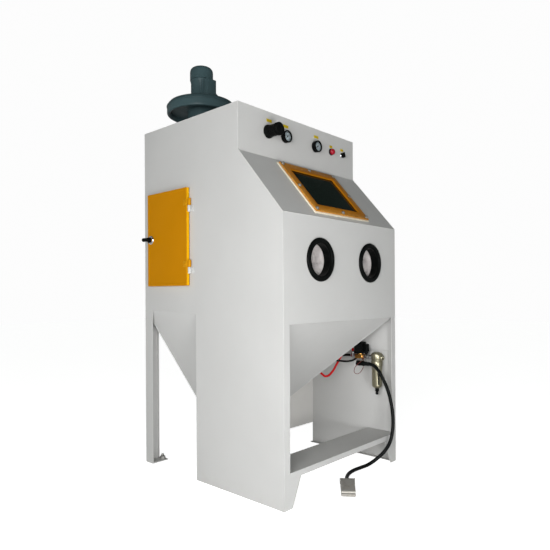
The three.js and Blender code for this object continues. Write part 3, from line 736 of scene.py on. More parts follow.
class CABINET_OT_foot_cable(bpy.types.Operator):
    """Cable from the solenoid's gland to the foot switch, with its strain reliefs"""

    bl_idname = "cabinet.foot_cable"
    bl_label = "Foot switch cable"

    def execute(self, context):
        points = [at(*p) for p in CABLE_ROUTE]
        behind = PEDAL_HALF + 8
        points += [by_pedal(0, behind + 40, 14), by_pedal(0, behind + 16, 18),
                   by_pedal(0, behind + 0.6, 18)]
        route = smooth_route(points, 0.006)
        cable = pipe("foot_cable", route, sizes().cable_radius)
        settle(cable, "cabinet", "rubber", "cable", "foot_switch_cable")

        out = Vector((0, -1, 0))
        nut = turned("cable_nut", [(11.0, 0), (14, 1.5), (14, 17), (12.5, 19), (12.5, 34),
                                   (14, 36), (14, 47), (12, 50)], at(800, 177.4, 518), out, 24)
        edit(nut)
        pick(nut, "FACE", lambda f: abs(f.normal.y) < 0.3 and f.calc_center_median().y
             > at(0, 146, 0).y)
        bpy.ops.mesh.inset(thickness=0.0006, depth=0.0004, use_individual=True)
        finish_mesh(nut)
        settle(nut, "cabinet", "black_plastic", "black", "cable_gland")
        relief = turned("cable_relief", [(9.6, 0), (11.8, 0.5), (11.6, 8), (11.0, 8.6),
                                         (11.0, 10), (11.2, 16), (10.6, 16.6), (10.6, 18),
                                         (10.7, 26), (10.1, 27), (9.5, 29)],
                        at(800, 128, 518), out, 24)
        settle(relief, "cabinet", "rubber", "cable")
        back = (points[-1] - points[-2]).normalized()
        tail = turned("pedal_relief", [(11.4, 0), (12, 1), (11.8, 6), (11.0, 6.6), (11.2, 12),
                                       (10.5, 12.6), (10.6, 18), (9.9, 18.6), (9.5, 24)],
                      by_pedal(0, PEDAL_HALF + 1, 18), -back, 24)
        settle(tail, "cabinet", "rubber", "cable")
        tuple(points[0])
        return {"FINISHED"}


class CABINET_OT_sheet_metal(bpy.types.Operator):
    """Painted plates, with the folds and welds along their edges"""

    bl_idname = "cabinet.sheet_metal"
    bl_label = "Sheet metal"

    def execute(self, context):
        for name in ("left_side_plate", "right_side_plate", "front_panel", "left_front_post",
                     "right_front_post", "foot_shelf", "window_panel", "control_panel",
                     "roof_panel", "chamber_left_wall", "chamber_right_wall",
                     "chamber_back_wall", "hopper_front_plate", "hopper_rear_plate",
                     "hopper_left_plate", "hopper_right_plate", "hopper_spout",
                     "rear_left_leg", "rear_right_leg", "upper_hinge_pin", "lower_hinge_pin"):
            paint_node(name, "body")
        paint_node("drain_gate", "dull_steel")
        paint_node("work_grate", "dull_steel")
        # The brace panel takes the brightened inner paint, painted light in the shaded knee space.
        paint_node("brace_panel", "inner")
        paint_node("door_gasket", "rubber")
        r = sizes().fold_radius * 1000
        sides = []
        for x in (r * 0.75, WIDTH - r * 0.75):
            front = [(x, 1.8, 2), (x, 1.8, KNEE), (x, SETBACK + 1.6, PANEL_FOOT + 1),
                     (x, SETBACK + 1.6, HEIGHT - 1.6), (x, DEPTH - 1.6, HEIGHT - 1.6),
                     (x, DEPTH - 1.6, 816)]
            sides.append(front)
        for y, z in ((1.6, KNEE), (SETBACK + 1.2, PANEL_FOOT + 0.4), (SETBACK + 1.6, HEIGHT - 1.6),
                     (DEPTH - 1.6, HEIGHT - 1.6)):
            sides.append([(2, y, z), (WIDTH - 2, y, z)])
        sides.append([(39, 1.4, 769), (WIDTH - 39, 1.4, 769)])
        for corners in (((4, 4, 780), (199, 515, 226)), ((896, 4, 780), (377, 515, 226)),
                        ((4, 986, 813), (199, 690, 226)), ((896, 986, 813), (377, 690, 226))):
            sides.append(list(corners))
        sides.append([(200, 516, 225), (377, 516, 225), (377, 689, 225), (200, 689, 225),
                      (200, 516, 225)])
        welds = []
        for i, line in enumerate(sides):
            for j, (a, b) in enumerate(zip(line, line[1:])):
                start, end = at(*a), at(*b)
                steps = max(2, int((end - start).length / 0.05))
                route = [start.lerp(end, k / steps) for k in range(steps + 1)]
                welds.append(pipe(f"weld_{i}_{j}", route, sizes().fold_radius, 3))
        settle(join("body_folds", *welds), "cabinet", "body_paint", "folds")

        base = at(80, DEPTH - 36, 5)
        washer = turned("anchor_washer", rounded(17, 0, 3, 0.8), base, UP, 32)
        nut = turned("anchor_nut", [(13, 3), (14.5, 4.5), (14.5, 13), (13, 15)], base, UP, 6)
        rod = turned("anchor_rod", rounded(7.5, 15, 26, 1.2), base, UP, 20)
        bolt = join("left_anchor_bolt", washer, nut, rod)
        twin = copied(bolt, "right_anchor_bolt", Matrix.Translation(((WIDTH - 160) / 1000, 0, 0)))
        settle(bolt, "cabinet", "steel", "dull_steel")
        settle(twin, "cabinet", "steel", "dull_steel")
        return {"FINISHED"}


WINDOW = (237, 663, 30, 368)


def slope_frame(name, outer, inner, low, high, edge):
    """A rectangular frame on the slope, from a slab inset and opened through."""
    begin()
    x0, x1, v0, v1 = outer
    size = Vector((x1 - x0, v1 - v0, high - low)) / 1000
    centre = on_slope((x0 + x1) / 2, (v0 + v1) / 2, (low + high) / 2)
    bpy.ops.mesh.primitive_cube_add(size=1, location=centre, rotation=(SLOPE, 0, 0), scale=size)
    piece = fresh(name)
    out = Vector((0, -math.sin(SLOPE), math.cos(SLOPE)))
    edit(piece)
    margin = (inner[0] - x0) / 1000
    pick(piece, "FACE", lambda f: abs(f.normal.dot(out)) > 0.9)
    bpy.ops.mesh.inset(thickness=margin, depth=0)
    bpy.ops.mesh.bridge_edge_loops()
    soften(piece, edge, 2)
    return finish_mesh(piece)


class CABINET_OT_window(bpy.types.Operator):
    """Window frame, seal, glass and fixing screws on the sloping panel"""

    bl_idname = "cabinet.window"
    bl_label = "Window"

    def execute(self, context):
        x0, x1, v0, v1 = WINDOW
        frame_piece = slope_frame("window_frame_bar", WINDOW,
                                  (x0 + 45, x1 - 45, v0 + 45, v1 - 45), 6.7, 14.6, 0.0014)
        settle(frame_piece, "cabinet", "frame_paint", "frame", "window_frame")
        seal = slope_frame("window_seal", (x0 - 5, x1 + 5, v0 - 5, v1 + 5),
                           (x0 + 39, x1 - 39, v0 + 39, v1 - 39), 0.3, 6.5, 0.0014)
        settle(seal, "cabinet", "pale_seal", "seal", "window_gasket")
        # The glass is painted near black, standing for the shade inside the chamber.
        paint_node("window_glass", "glass")

        out = Vector((0, -math.sin(SLOPE), math.cos(SLOPE)))
        middle_x, middle_v = (x0 + x1) / 2, (v0 + v1) / 2
        spots = [(x0 + 14, v1 - 14), (middle_x, v1 - 14), (x1 - 14, v1 - 14),
                 (x0 + 14, middle_v), (x1 - 14, middle_v),
                 (x0 + 14, v0 + 14), (middle_x, v0 + 14), (x1 - 14, v0 + 14)]
        first = on_slope(*spots[0], 0)
        screw = turned("screw_0", [(9.5, 14.4), (9.5, 15.8), (9.0, 16.2), (6.8, 16.3),
                                   (6.8, 20.0), (5.2, 22.2), (2.0, 23.2)], first, out, 20)
        screws = [screw] + [
            copied(screw, f"screw_{i}", Matrix.Translation(on_slope(*spot, 0) - first))
            for i, spot in enumerate(spots[1:], 1)]
        settle(join("window_screws", *screws), "cabinet", "steel", "dull_steel")
        return {"FINISHED"}


DOOR = (607, 936, 938, 1417)
HINGE = (-10, 598.6)
HINGE_LEVELS = (1028, 1328)
LATCH = (905, 1179)


class CABINET_OT_door(bpy.types.Operator):
    """Loading door with hinge barrels, latch handle and rose"""

    bl_idname = "cabinet.door"
    bl_label = "Loading door"

    def execute(self, context):
        front, rear, low, high = DOOR
        leaf = block("door_leaf", (-20, front, low), (-3.3, rear, high), 0)
        edit(leaf)
        pick(leaf, "FACE", faces_towards(LEFTWARD))
        bpy.ops.mesh.inset(thickness=0.012, depth=0)
        bpy.ops.mesh.inset(thickness=0.002, depth=-0.0012)
        soften(leaf, 0.0022, 3, lambda e: e.calc_face_angle(0) > 1.2)
        finish_mesh(leaf)
        z = HINGE_LEVELS[0]
        base = at(*HINGE, z)
        barrel = turned("barrel", rounded(8, 0.4, 31, 1.2), base, UP, 28)
        crown = turned("crown", [(8, 30.6), (8.6, 31.4), (8.6, 33.5), (6, 36), (2, 37)],
                       base, UP, 28)
        strap = block("strap", (-21.5, HINGE[1] + 2, z + 1), (-18.5, front + 26, z + 30), 0.001)
        rivet = turned("rivet", [(3.4, 0), (3.2, 1.0), (2.0, 1.8)],
                       at(-21.4, front + 8, z + 15.5), LEFTWARD, 16)
        second = copied(rivet, "second_rivet", Matrix.Translation((0, 0.011, 0)))
        hinge = join("lower_strap", barrel, crown, strap, rivet, second)
        hinge_rise = Matrix.Translation((0, 0, (HINGE_LEVELS[1] - z) / 1000))
        upper = copied(hinge, "upper_strap", hinge_rise)
        leaf = join("door_leaf", leaf, hinge, upper)
        paint(leaf, "door")
        leaf.data.materials.append(MATERIALS["door_edge_highlight"])
        # The door's edge faces take the brighter yellow, a painted highlight.
        for face in leaf.data.polygons:
            if abs(face.normal.x) < 0.5 and face.area > 0.002:
                face.material_index = 1
        settle(leaf, "door", "door_paint", None, "door_panel")

        barrel = turned("knuckle_barrel", rounded(8, -31, -0.2, 1.2), base, UP, 28)
        pin = turned("knuckle_pin", rounded(4, -2, 22, 0.8), base, UP, 20)
        plate = block("knuckle_leaf", (-4, HINGE[1] - 24, z - 30), (-0.3, HINGE[1] + 3, z - 2),
                      0.0008)
        head = turned("knuckle_rivet", [(3.4, 0), (3.2, 1.0), (2.0, 1.6)],
                      at(-4, HINGE[1] - 19, z - 16), LEFTWARD, 16)
        other = copied(head, "knuckle_second_rivet", Matrix.Translation((0, 0.008, 0)))
        lower = join("lower_knuckle", barrel, pin, plate, head, other)
        raised = copied(lower, "upper_knuckle", hinge_rise)
        settle(lower, "cabinet", "body_paint", "folds", "lower_hinge_pin")
        settle(raised, "cabinet", "body_paint", "folds", "upper_hinge_pin")

        centre = at(0, *LATCH)
        rose = turned("latch_rose", [(23, 20), (23, 22.5), (21, 25), (16, 25.6), (15.5, 28),
                                     (11, 29)], centre, LEFTWARD, 40)
        settle(rose, "door", "steel", "chrome")
        neck = turned("latch_neck", [(10, 26), (14, 27.5), (14, 36), (12.5, 38), (9.5, 40),
                                     (9, 48), (10, 52)], centre, LEFTWARD, 32)
        grip = turned("latch_grip", [(5, -22), (8.4, -21), (10, -17), (10, -12), (9.2, -7),
                                     (8.8, 0), (9.2, 7), (10, 12), (10, 17), (8.4, 21),
                                     (5, 22)], centre + LEFTWARD * 0.055, (0, 1, 0), 32)
        spindle = turned("latch_spindle", rounded(6, -7.6, 27, 0.6), centre, LEFTWARD, 20)
        cam = block("latch_cam", (3.7, LATCH[0] - 8, LATCH[1] - 8),
                    (6.5, LATCH[0] + 8, LATCH[1] + 30), 0.0006)
        handle = join("latch_t_handle", neck, grip, spindle, cam)
        settle(handle, "latch", "black_plastic", "black", "latch_handle")
        return {"FINISHED"}


class CABINET_OT_ports(bpy.types.Operator):
    """Round glove-port rings and the clamps behind them"""

    bl_idname = "cabinet.ports"
    bl_label = "Glove ports"

    def execute(self, context):
        profile = [(76, -38), (78, -38), (78, 0.3), (96, 0.3), (97.6, 1.2), (98, 3.5),
                   (97.2, 6.5), (95, 9.4), (92, 11.2), (89, 12), (79.4, 12), (76.6, 11.2),
                   (74.7, 9.2), (73.9, 6.5), (73.7, 3), (74, 0), (75.4, -2.4), (76, -4),
                   (76, -38)]
        x = PORTS["left"]
        base = at(x, 0, PORT_HEIGHT)
        ring = turned("left_port_rim", profile, base, FORWARD, 96, ring=True)
        clamp = turned("glove_clamp", [(80.2, -36), (82.4, -35.6), (82.4, -24.4), (80.2, -24),
                                       (80.2, -36)], base, FORWARD, 72, ring=True)
        worm = block("clamp_worm", (x - 9, 24, PORT_HEIGHT + 82), (x + 9, 36, PORT_HEIGHT + 91),
                     0.001)
        clamp = join("left_glove_clamp", clamp, worm)
        across = Matrix.Translation(((PORTS["right"] - x) / 1000, 0, 0))
        for side, rim, band in (("left", ring, clamp),
                                ("right", copied(ring, "right_port_rim", across),
                                 copied(clamp, "right_glove_clamp", across))):
            settle(rim, "cabinet", "black_plastic", "black", f"{side}_port_ring")
            settle(band, "cabinet", "steel", "steel")
        return {"FINISHED"}


SLEEVE_PATH = ((0, 30, 0), (0, 40, 0), (0, 58, -1), (0, 82, -8), (0, 120, -28), (0, 165, -60),
               (0, 205, -98), (0, 228, -130), (0, 236, -156))
SLEEVE_HALVES = ((79.2, 79.2), (78.4, 78.4), (60, 76), (24, 70), (22, 60), (30, 50),
                 (36, 38), (34, 28), (33, 24))


FOLD_PUSH = 3.0
CREASE_DEPTH = 7.0
CREASE_TURN = 0.36
FINE_CREASE_TURN = 0.71


def sleeve_mesh(name, x, seed):
    """A cloth tube that collapses to an upright slit inside the port, then hangs down."""
    around, along = 120, 128
    path = [Vector(p) for p in SLEEVE_PATH]
    verts, faces = [], []
    for i in range(along):
        t = i / (along - 1) * (len(path) - 1)
        k = min(int(t), len(path) - 2)
        f = t - k
        ease = f * f * (3 - 2 * f)
        centre = path[k].lerp(path[k + 1], f)
        tangent = (path[min(k + 2, len(path) - 1)] - path[k]).lerp(
            path[k + 1] - path[max(k - 1, 0)], 1 - f).normalized()
        up = Vector((1, 0, 0)).cross(tangent).normalized()
        wide, tall = (a + (b - a) * ease for a, b in zip(SLEEVE_HALVES[k], SLEEVE_HALVES[k + 1]))
        slack = max(0.0, min(1.0, (t - 1.0) / 1.6))
        for j in range(around):
            angle = 2 * math.pi * j / around
            fold = (math.sin(angle * 8 + seed) * 0.8 + math.sin(angle * 15 + 2.1 * seed) * 0.35
                    + math.sin(angle * 4 - seed + t * 0.9) * 0.5)
            drift = noise.noise(Vector((math.cos(angle) * 1.7 + seed, math.sin(angle) * 1.7,
                                        t * 0.8)))
            swell = 1 + slack * (0.13 * fold + 0.12 * drift)
            spot = (centre + Vector((1, 0, 0)) * wide * math.cos(angle) * swell
                    + up * tall * math.sin(angle) * (1 + slack * 0.04 * drift))
            fade = 1 - min(1.0, max(0.0, (t - 2) / 3))
            gather = min(1.0, max(0.0, t - 1.0)) * min(1.0, max(0.0, (4.5 - t) / 1.5))
            lean = 0.8 * math.sin(spot.z * 0.035 + seed) + 0.02 * spot.z
            crease = (math.sin(spot.x * CREASE_TURN + lean)
                      + 0.45 * math.sin(spot.x * FINE_CREASE_TURN - lean + seed))
            spot.y += slack * FOLD_PUSH * fold * fade + CREASE_DEPTH * gather * crease
            verts.append(at(x + spot.x, spot.y, PORT_HEIGHT + spot.z))
    for i in range(along - 1):
        for j in range(around):
            a, b = i * around + j, i * around + (j + 1) % around
            faces.append((a, a + around, b + around, b))
    mesh = bpy.data.meshes.new(name)
    mesh.from_pydata(verts, [], faces)
    sleeve = bpy.data.objects.new(name, mesh)
    bpy.context.scene.collection.objects.link(sleeve)
    hold(sleeve)
    skin = sleeve.modifiers.new("Thickness", "SOLIDIFY")
    skin.thickness, skin.offset = sizes().cloth_thickness, 0
    apply_all(sleeve)
    return finish_mesh(sleeve, 60)


def hand_mesh(name, x, mirror):
    """A glove's hand: a palm whose lower faces are drawn out to fingers, with a thumb."""
    begin()
    palm_centre = (x, 237, PORT_HEIGHT - 168)
    bpy.ops.mesh.primitive_cube_add(size=1, location=at(*palm_centre),
                                    scale=(0.072, 0.026, 0.046))
    hand = fresh(name)
    edit(hand)
    bpy.ops.mesh.select_mode(type="EDGE")
    cuts = 3
    for k in range(1, cuts + 1):
        bpy.ops.mesh.select_all(action="SELECT")
        plane_x = at(x - 36 + 72 * k / (cuts + 1), 0, 0).x
        bpy.ops.mesh.bisect(plane_co=(plane_x, 0, 0), plane_no=(1, 0, 0))
    pick(hand, "FACE", faces_towards(-UP))
    bpy.ops.mesh.inset(thickness=0.0016, depth=0, use_individual=True)
    for length in (0.017, 0.015):
        bpy.ops.mesh.extrude_faces_move(
            TRANSFORM_OT_shrink_fatten={"value": length})
        bpy.ops.mesh.inset(thickness=0.0008, depth=0, use_individual=True)
    outer = 1 if mirror else -1
    pick(hand, "FACE", lambda f: f.normal.x * outer > 0.9 and f.calc_center_median().z
         > at(0, 0, PORT_HEIGHT - 189).z)
    bpy.ops.mesh.extrude_region_move(TRANSFORM_OT_translate={"value": (outer * 0.008, 0, -0.012)})
    bpy.ops.transform.resize(value=(0.8, 0.7, 0.62))
    bpy.ops.mesh.extrude_region_move(TRANSFORM_OT_translate={"value": (outer * 0.003, 0, -0.016)})
    finish_mesh(hand)
    round_off = hand.modifiers.new("Round", "SUBSURF")
    round_off.levels = round_off.render_levels = 3
    apply_all(hand)
    wrinkle = hand.data
    for vertex in wrinkle.vertices:
        crumple = noise.noise(vertex.co * 70) * 0.0016 + noise.noise(vertex.co * 160) * 0.0006
        vertex.co += vertex.normal * crumple
    return finish_mesh(hand, 80)


class CABINET_OT_gloves(bpy.types.Operator):
    """Cloth sleeves gathered behind the ports, with their hands"""

    bl_idname = "cabinet.gloves"
    bl_label = "Gloves"

    def execute(self, context):
        for side, x in PORTS.items():
            sleeve = sleeve_mesh(f"{side}_sleeve", x, 1.3 if side == "left" else 4.1)
            settle(sleeve, "cabinet", "glove_cloth", "cloth", f"{side}_glove")
            hand = hand_mesh(f"{side}_hand", x, side == "left")
            settle(hand, "cabinet", "glove_cloth", "cloth")
            cuff_path = [at(x + 34.5 * math.cos(a), 236 + 25 * math.sin(a) * 0.9,
                            PORT_HEIGHT - 151 - 25 * math.sin(a) * 0.3)
                         for a in [2 * math.pi * k / 48 for k in range(49)]]
            cuff = pipe(f"{side}_cuff_hem", cuff_path, 0.0022, 3)
            settle(cuff, "cabinet", "glove_cloth", "cloth")
        return {"FINISHED"}


class CABINET_OT_controls(bpy.types.Operator):
    """Regulator, pressure gauges, pilot lamp, selector and blank labels"""

    bl_idname = "cabinet.controls"
    bl_label = "Controls"

    def execute(self, context):
        face = SETBACK
        z = INSTRUMENT_HEIGHT
        self.regulator(at(195, face, z))
        for side, x in (("left", 314), ("right", 552)):
            self.gauge(side, at(x, face, z))
        self.lamp(690, face, z)
        self.selector(790, face, z)
        labels = []
        for i, (x, height, wide, tall) in enumerate((
                (203, 1713, 36, 14), (323, 1713, 36, 14), (562, 1713, 36, 14),
                (690, 1688, 24, 13), (790, 1688, 24, 13))):
            tag = block(f"label_{i}", (x - wide / 2, face - 1.6, height - tall / 2),
                        (x + wide / 2, face - 0.1, height + tall / 2), 0.0004)
            edit(tag)
            pick(tag, "FACE", faces_towards(FORWARD))
            bpy.ops.mesh.inset(thickness=0.0012, depth=-0.0002)
            labels.append(finish_mesh(tag))
        settle(join("panel_labels", *labels), "cabinet", "door_paint", "label")
        return {"FINISHED"}

    def regulator(self, base):
        body = turned("regulator_collar", [
            (20, -60), (24, -58), (24, -3.4), (16, -3.3), (16, 0.2), (30, 0.2), (31.6, 1.8),
            (31.6, 8), (30.6, 9.4), (30.4, 13), (29, 16), (28, 18), (27.8, 23.2), (22, 24)],
            base, FORWARD, 64)
        settle(body, "cabinet", "black_plastic", "black", "regulator_body")
        knob = turned("regulator_grip", [
            (22, 24.8), (27.4, 25), (28, 27), (28, 58), (28.6, 59.5), (29.8, 61), (30.2, 63),
            (30.2, 75), (29.2, 78), (27, 80), (24, 80.4), (22.6, 79.2), (6, 79.0), (5, 79.6),
            (2, 79.8)], base, FORWARD, 90)
        edit(knob)
        low, high = base.y - 0.0585, base.y - 0.0275
        pick(knob, "FACE", lambda f: low < f.calc_center_median().y < high
             and abs(f.normal.y) < 0.2 and round(math.atan2(
                 f.normal.z, f.normal.x) / (2 * math.pi / 90) - 0.5) % 3 == 0)
        bpy.ops.mesh.inset(thickness=0.0003, depth=-0.0012, use_individual=True)
        low, high = base.y - 0.0752, base.y - 0.0628
        pick(knob, "FACE", lambda f: low < f.calc_center_median().y < high
             and abs(f.normal.y) < 0.2 and round(math.atan2(
                 f.normal.z, f.normal.x) / (2 * math.pi / 90) - 0.5) % 2 == 0)
        bpy.ops.mesh.inset(thickness=0.0002, depth=-0.0007, use_individual=True)
        finish_mesh(knob)
        settle(knob, "pressure_knob", "black_plastic", "black", "regulator_knob")

    def gauge(self, side, base):
        case = turned(f"{side}_gauge_case", [
            (8, -28), (12, -27), (12, -3.4), (7.5, -3.3), (7.5, 0.2), (26, 0.2), (28.4, 1.6),
            (29, 4), (29, 19), (30, 20), (30, 23.6), (29.2, 25), (26.6, 25.6), (24.2, 25),
            (23.2, 23), (23.0, 16.6), (22, 16.4)], base, FORWARD, 72)
        settle(case, "cabinet", "black_plastic", "black", f"{side}_gauge")
        plate = turned(f"{side}_dial", [(22.2, 16.2), (22.8, 16.5), (22.7, 17.0), (21.8, 17.2)],
                       base, FORWARD, 64)
        settle(plate, "cabinet", "dial_white", "dial")
        x = (base - CORNER).x * 1000
        face, z = SETBACK - 17.2, INSTRUMENT_HEIGHT
        strokes = {3: block("long_mark", (x - 0.5, face - 0.3, z + 16.6),
                            (x + 0.5, face, z + 20.8), 0),
                   1: block("short_mark", (x - 0.3, face - 0.3, z + 18.2),
                            (x + 0.3, face, z + 20.8), 0)}
        marks = list(strokes.values())
        for i in range(28):
            stroke = strokes[3 if i % 3 == 0 else 1]
            marks.append(copied(stroke, f"mark_{i}",
                                spin_about(base, "Y", math.radians(-135 + 270 * i / 27))))
        settle(join(f"{side}_dial_marks", *marks), "cabinet", "black_plastic", "black")
        needle = turned(f"{side}_needle_hub", rounded(3.4, 17.6, 20, 0.6), base, FORWARD, 24)
        arm = block(f"{side}_needle_arm", (0, 0, 0), (2.2, 0.7, 24), 0)
        arm.data.transform(Matrix.Translation(-at(1.1, 0.35, 7)))
        edit(arm)
        pick(arm, "FACE", faces_towards(UP))
        bpy.ops.transform.resize(value=(0.22, 1, 1))
        finish_mesh(arm)
        arm.data.transform(Matrix.Translation(base + FORWARD * 0.0189)
                           @ Matrix.Rotation(math.radians(-135), 4, "Y"))
        settle(join(f"{side}_needle", needle, arm), f"{side}_needle", "dial_white", "black",
               f"{side}_gauge_needle")
        lens = turned(f"{side}_gauge_lens", [(20, 22.2), (22.8, 22.4), (22.9, 23.2),
                                             (20, 24.0), (12, 24.6), (3, 24.8)],
                      base, FORWARD, 64)
        settle(lens, "cabinet", "window_glass", "clear")

    def lamp(self, x, face, z):
        base = at(x, face, z)
        bezel = turned("lamp_bezel", [(10, -28), (13, -27), (13, -3.4), (10.5, -3.3),
                                      (10.5, 0.2), (17.4, 0.2), (18, 1.2), (18, 5),
                                      (16.5, 7.5), (14.6, 8), (14, 7.2)], base, FORWARD, 48)
        settle(bezel, "cabinet", "black_plastic", "black", "pilot_lamp")
        lens = turned("lamp_lens", [(14.6, 7.4), (14.6, 18), (12.4, 21.5), (7, 24), (2, 24.8)],
                      base, FORWARD, 20)
        edit(lens)
        pick(lens, "FACE", lambda f: abs(f.normal.y) < 0.3)
        bpy.ops.mesh.inset(thickness=0.0005, depth=0.0006, use_individual=True)
        finish_mesh(lens, 12)
        settle(lens, "cabinet", "red_lens", "lamp_red")

    def selector(self, x, face, z):
        base = at(x, face, z)
        bezel = turned("selector_bezel", [(11, -38), (14, -37), (14, -3.4), (10.5, -3.3),
                                          (10.5, 0.2), (16, 0.2), (16.6, 1.2), (16.2, 4.6),
                                          (14.6, 6.6), (10, 7)], base, FORWARD, 48)
        settle(bezel, "cabinet", "steel", "chrome", "selector_base")
        hub = turned("selector_hub", [(11, 7.5), (12, 8), (12, 10.6), (10.6, 11.6)],
                     base, FORWARD, 40)
        lever = block("selector_lever", (x - 7, face - 26, z - 13), (x + 7, face - 9, z + 17), 0)
        edit(lever)
        pick(lever, "FACE", faces_towards(FORWARD))
        bpy.ops.transform.resize(value=(0.45, 1, 0.86))
        pick(lever, "FACE", faces_towards(UP, 0.6))
        bpy.ops.transform.resize(value=(0.5, 0.8, 1))
        soften(lever, 0.0012)
        finish_mesh(lever)
        stripe = block("selector_stripe", (x - 1, face - 27, z + 3), (x + 1, face - 25.4, z + 14),
                       0.0003)
        settle(stripe, "selector", "dial_white", "dial")
        settle(join("selector_lever", hub, lever), "selector", "black_plastic", "black",
               "selector_knob")


class CABINET_OT_fan(bpy.types.Operator):
    """Roof fan: casing, cover, impeller, motor with terminal box, cowl"""

    bl_idname = "cabinet.fan"
    bl_label = "Extraction fan"

    def execute(self, context):
        base = at(*FAN, 0)
        casing = turned("fan_volute", [
            (71, 1741), (75, 1741), (75, 1878), (78, 1882), (84, 1883.6), (156, 1883.6),
            (162, 1881), (165, 1870), (168.5, 1863), (173, 1860.4), (178, 1860.2),
            (182, 1862), (184.4, 1866), (185, 1872), (185, 1898.6), (181, 1898.6),
            (181, 1876), (179, 1868), (175, 1866), (171, 1869), (167, 1881), (160, 1887.8),
            (71, 1887.8), (71, 1741)], base, UP, 96, ring=True)
        flange = turned("fan_neck_flange", [(75.5, 1755.3), (98, 1755.3), (98, 1759), (96, 1760),
                                            (77, 1760), (75.5, 1763), (75.5, 1755.3)],
                        base, UP, 64, ring=True)
        x, y = FAN
        bolt = turned("neck_bolt_0", [(5, 0), (6, 0.8), (6, 4), (5, 5)],
                      at(x + NECK_BOLT_CIRCLE, y, 1760), UP, 6)
        bolts = [bolt] + [copied(bolt, f"neck_bolt_{k}",
                                 spin_about(base, "Z", 2 * math.pi * k / 6))
                          for k in range(1, 6)]
        duct = block("fan_duct", (x + 150, y + 91, 1875), (x + 212, y + 164, 1898.6), 0)
        rim = block("fan_duct_rim", (x + 209, y + 81, 1866), (x + 215, y + 174, 1898.9), 0.0008)
        hollow = block("fan_duct_hollow", (x + 140, y + 95, 1878.2), (x + 225, y + 160, 1895), 0)
        mouth = carve(join("fan_duct", duct, rim), hollow)
        settle(join("fan_volute", casing, flange, mouth, *bolts), "cabinet", "fan_paint", "fan",
               "fan_casing")

        cover = turned("fan_lid", [
            (10.6, 1924), (150, 1924), (165, 1921), (176, 1912), (180.6, 1899.4),
            (187, 1899.2), (187.4, 1900.4), (187, 1903), (184, 1903.6), (180, 1913),
            (172, 1921.6), (163, 1925.6), (152, 1927.4), (150, 1928), (131, 1928),
            (129.5, 1929.2), (126, 1929.2), (124.6, 1928), (10.6, 1928), (10.6, 1924)],
            base, UP, 96, ring=True)
        start = 2 * math.pi * 0.35 / 8
        clip = turned("lid_screw_0", [(3.2, 0), (3.2, 1.6), (2, 2.4)],
                      at(x + LID_SCREW_CIRCLE * math.cos(start),
                         y + LID_SCREW_CIRCLE * math.sin(start), 1903), UP, 14)
        clips = [clip] + [copied(clip, f"lid_screw_{k}",
                                 spin_about(base, "Z", 2 * math.pi * k / 8))
                          for k in range(1, 8)]
        settle(join("fan_lid", cover, *clips), "cabinet", "fan_paint", "fan", "fan_cover")
        paint_node("fan_impeller", "steel")

        motor = turned("fan_motor_shell", [
            (66, 1928.4), (69, 1929), (70, 1931), (70, 1934.5), (66, 1938), (59, 1946),
            (57.4, 1950), (57.4, 2038), (59.5, 2042), (60, 2049), (58, 2050)], base, UP, 90)
        edit(motor)
        low, high = at(0, 0, 1952).z, at(0, 0, 2036).z
        pick(motor, "FACE", lambda f: low < f.calc_center_median().z < high
             and abs(f.normal.z) < 0.2 and round(math.atan2(
                 f.normal.y, f.normal.x) / (2 * math.pi / 90) - 0.5) % 3 == 0)
        bpy.ops.mesh.inset(thickness=0.0004, depth=0.0022, use_individual=True)
        finish_mesh(motor)
        terminal = block("fan_terminal_box", (x - 32, y - 84, 1950), (x + 32, y - 52, 2042),
                         0.003, 3)
        lid = block("fan_terminal_lid", (x - 29, y - 86, 1954), (x + 29, y - 83, 2038),
                    0.0012)
        gland = turned("fan_terminal_gland", [(9, 0), (11, 1), (11, 8), (8, 10), (7.6, 18),
                                              (5, 19)], at(x + 31, y - 68, 1968), (1, 0, 0), 24)
        settle(join("fan_motor_shell", motor, terminal, lid, gland), "cabinet", "fan_paint",
               "fan", "fan_motor")
        cowl = turned("fan_motor_cowl", [
            (60, 2050.6), (62, 2051.4), (62, 2060), (61.2, 2061), (61.2, 2062.4), (62, 2063.4),
            (62, 2092), (61.4, 2100), (59, 2107.4), (54.4, 2113.6), (48, 2117.8), (40, 2119.6),
            (34, 2119.8), (16, 2119.8), (4, 2119.8)], base, UP, 72)
        edit(cowl)
        top = at(0, 0, 2119.5).z
        pick(cowl, "FACE", lambda f: f.calc_center_median().z > top and f.calc_area() < 3e-4
             and 0.02 < (f.calc_center_median() - base).xy.length < 0.03
             and round(math.atan2(f.calc_center_median().y - base.y,
                                  f.calc_center_median().x - base.x)
                       / (2 * math.pi / 72) - 0.5) % 2 == 0)
        bpy.ops.mesh.inset(thickness=0.0003, depth=-0.002, use_individual=True)
        finish_mesh(cowl)
        settle(cowl, "cabinet", "fan_paint", "fan", "fan_cowl")
        return {"FINISHED"}


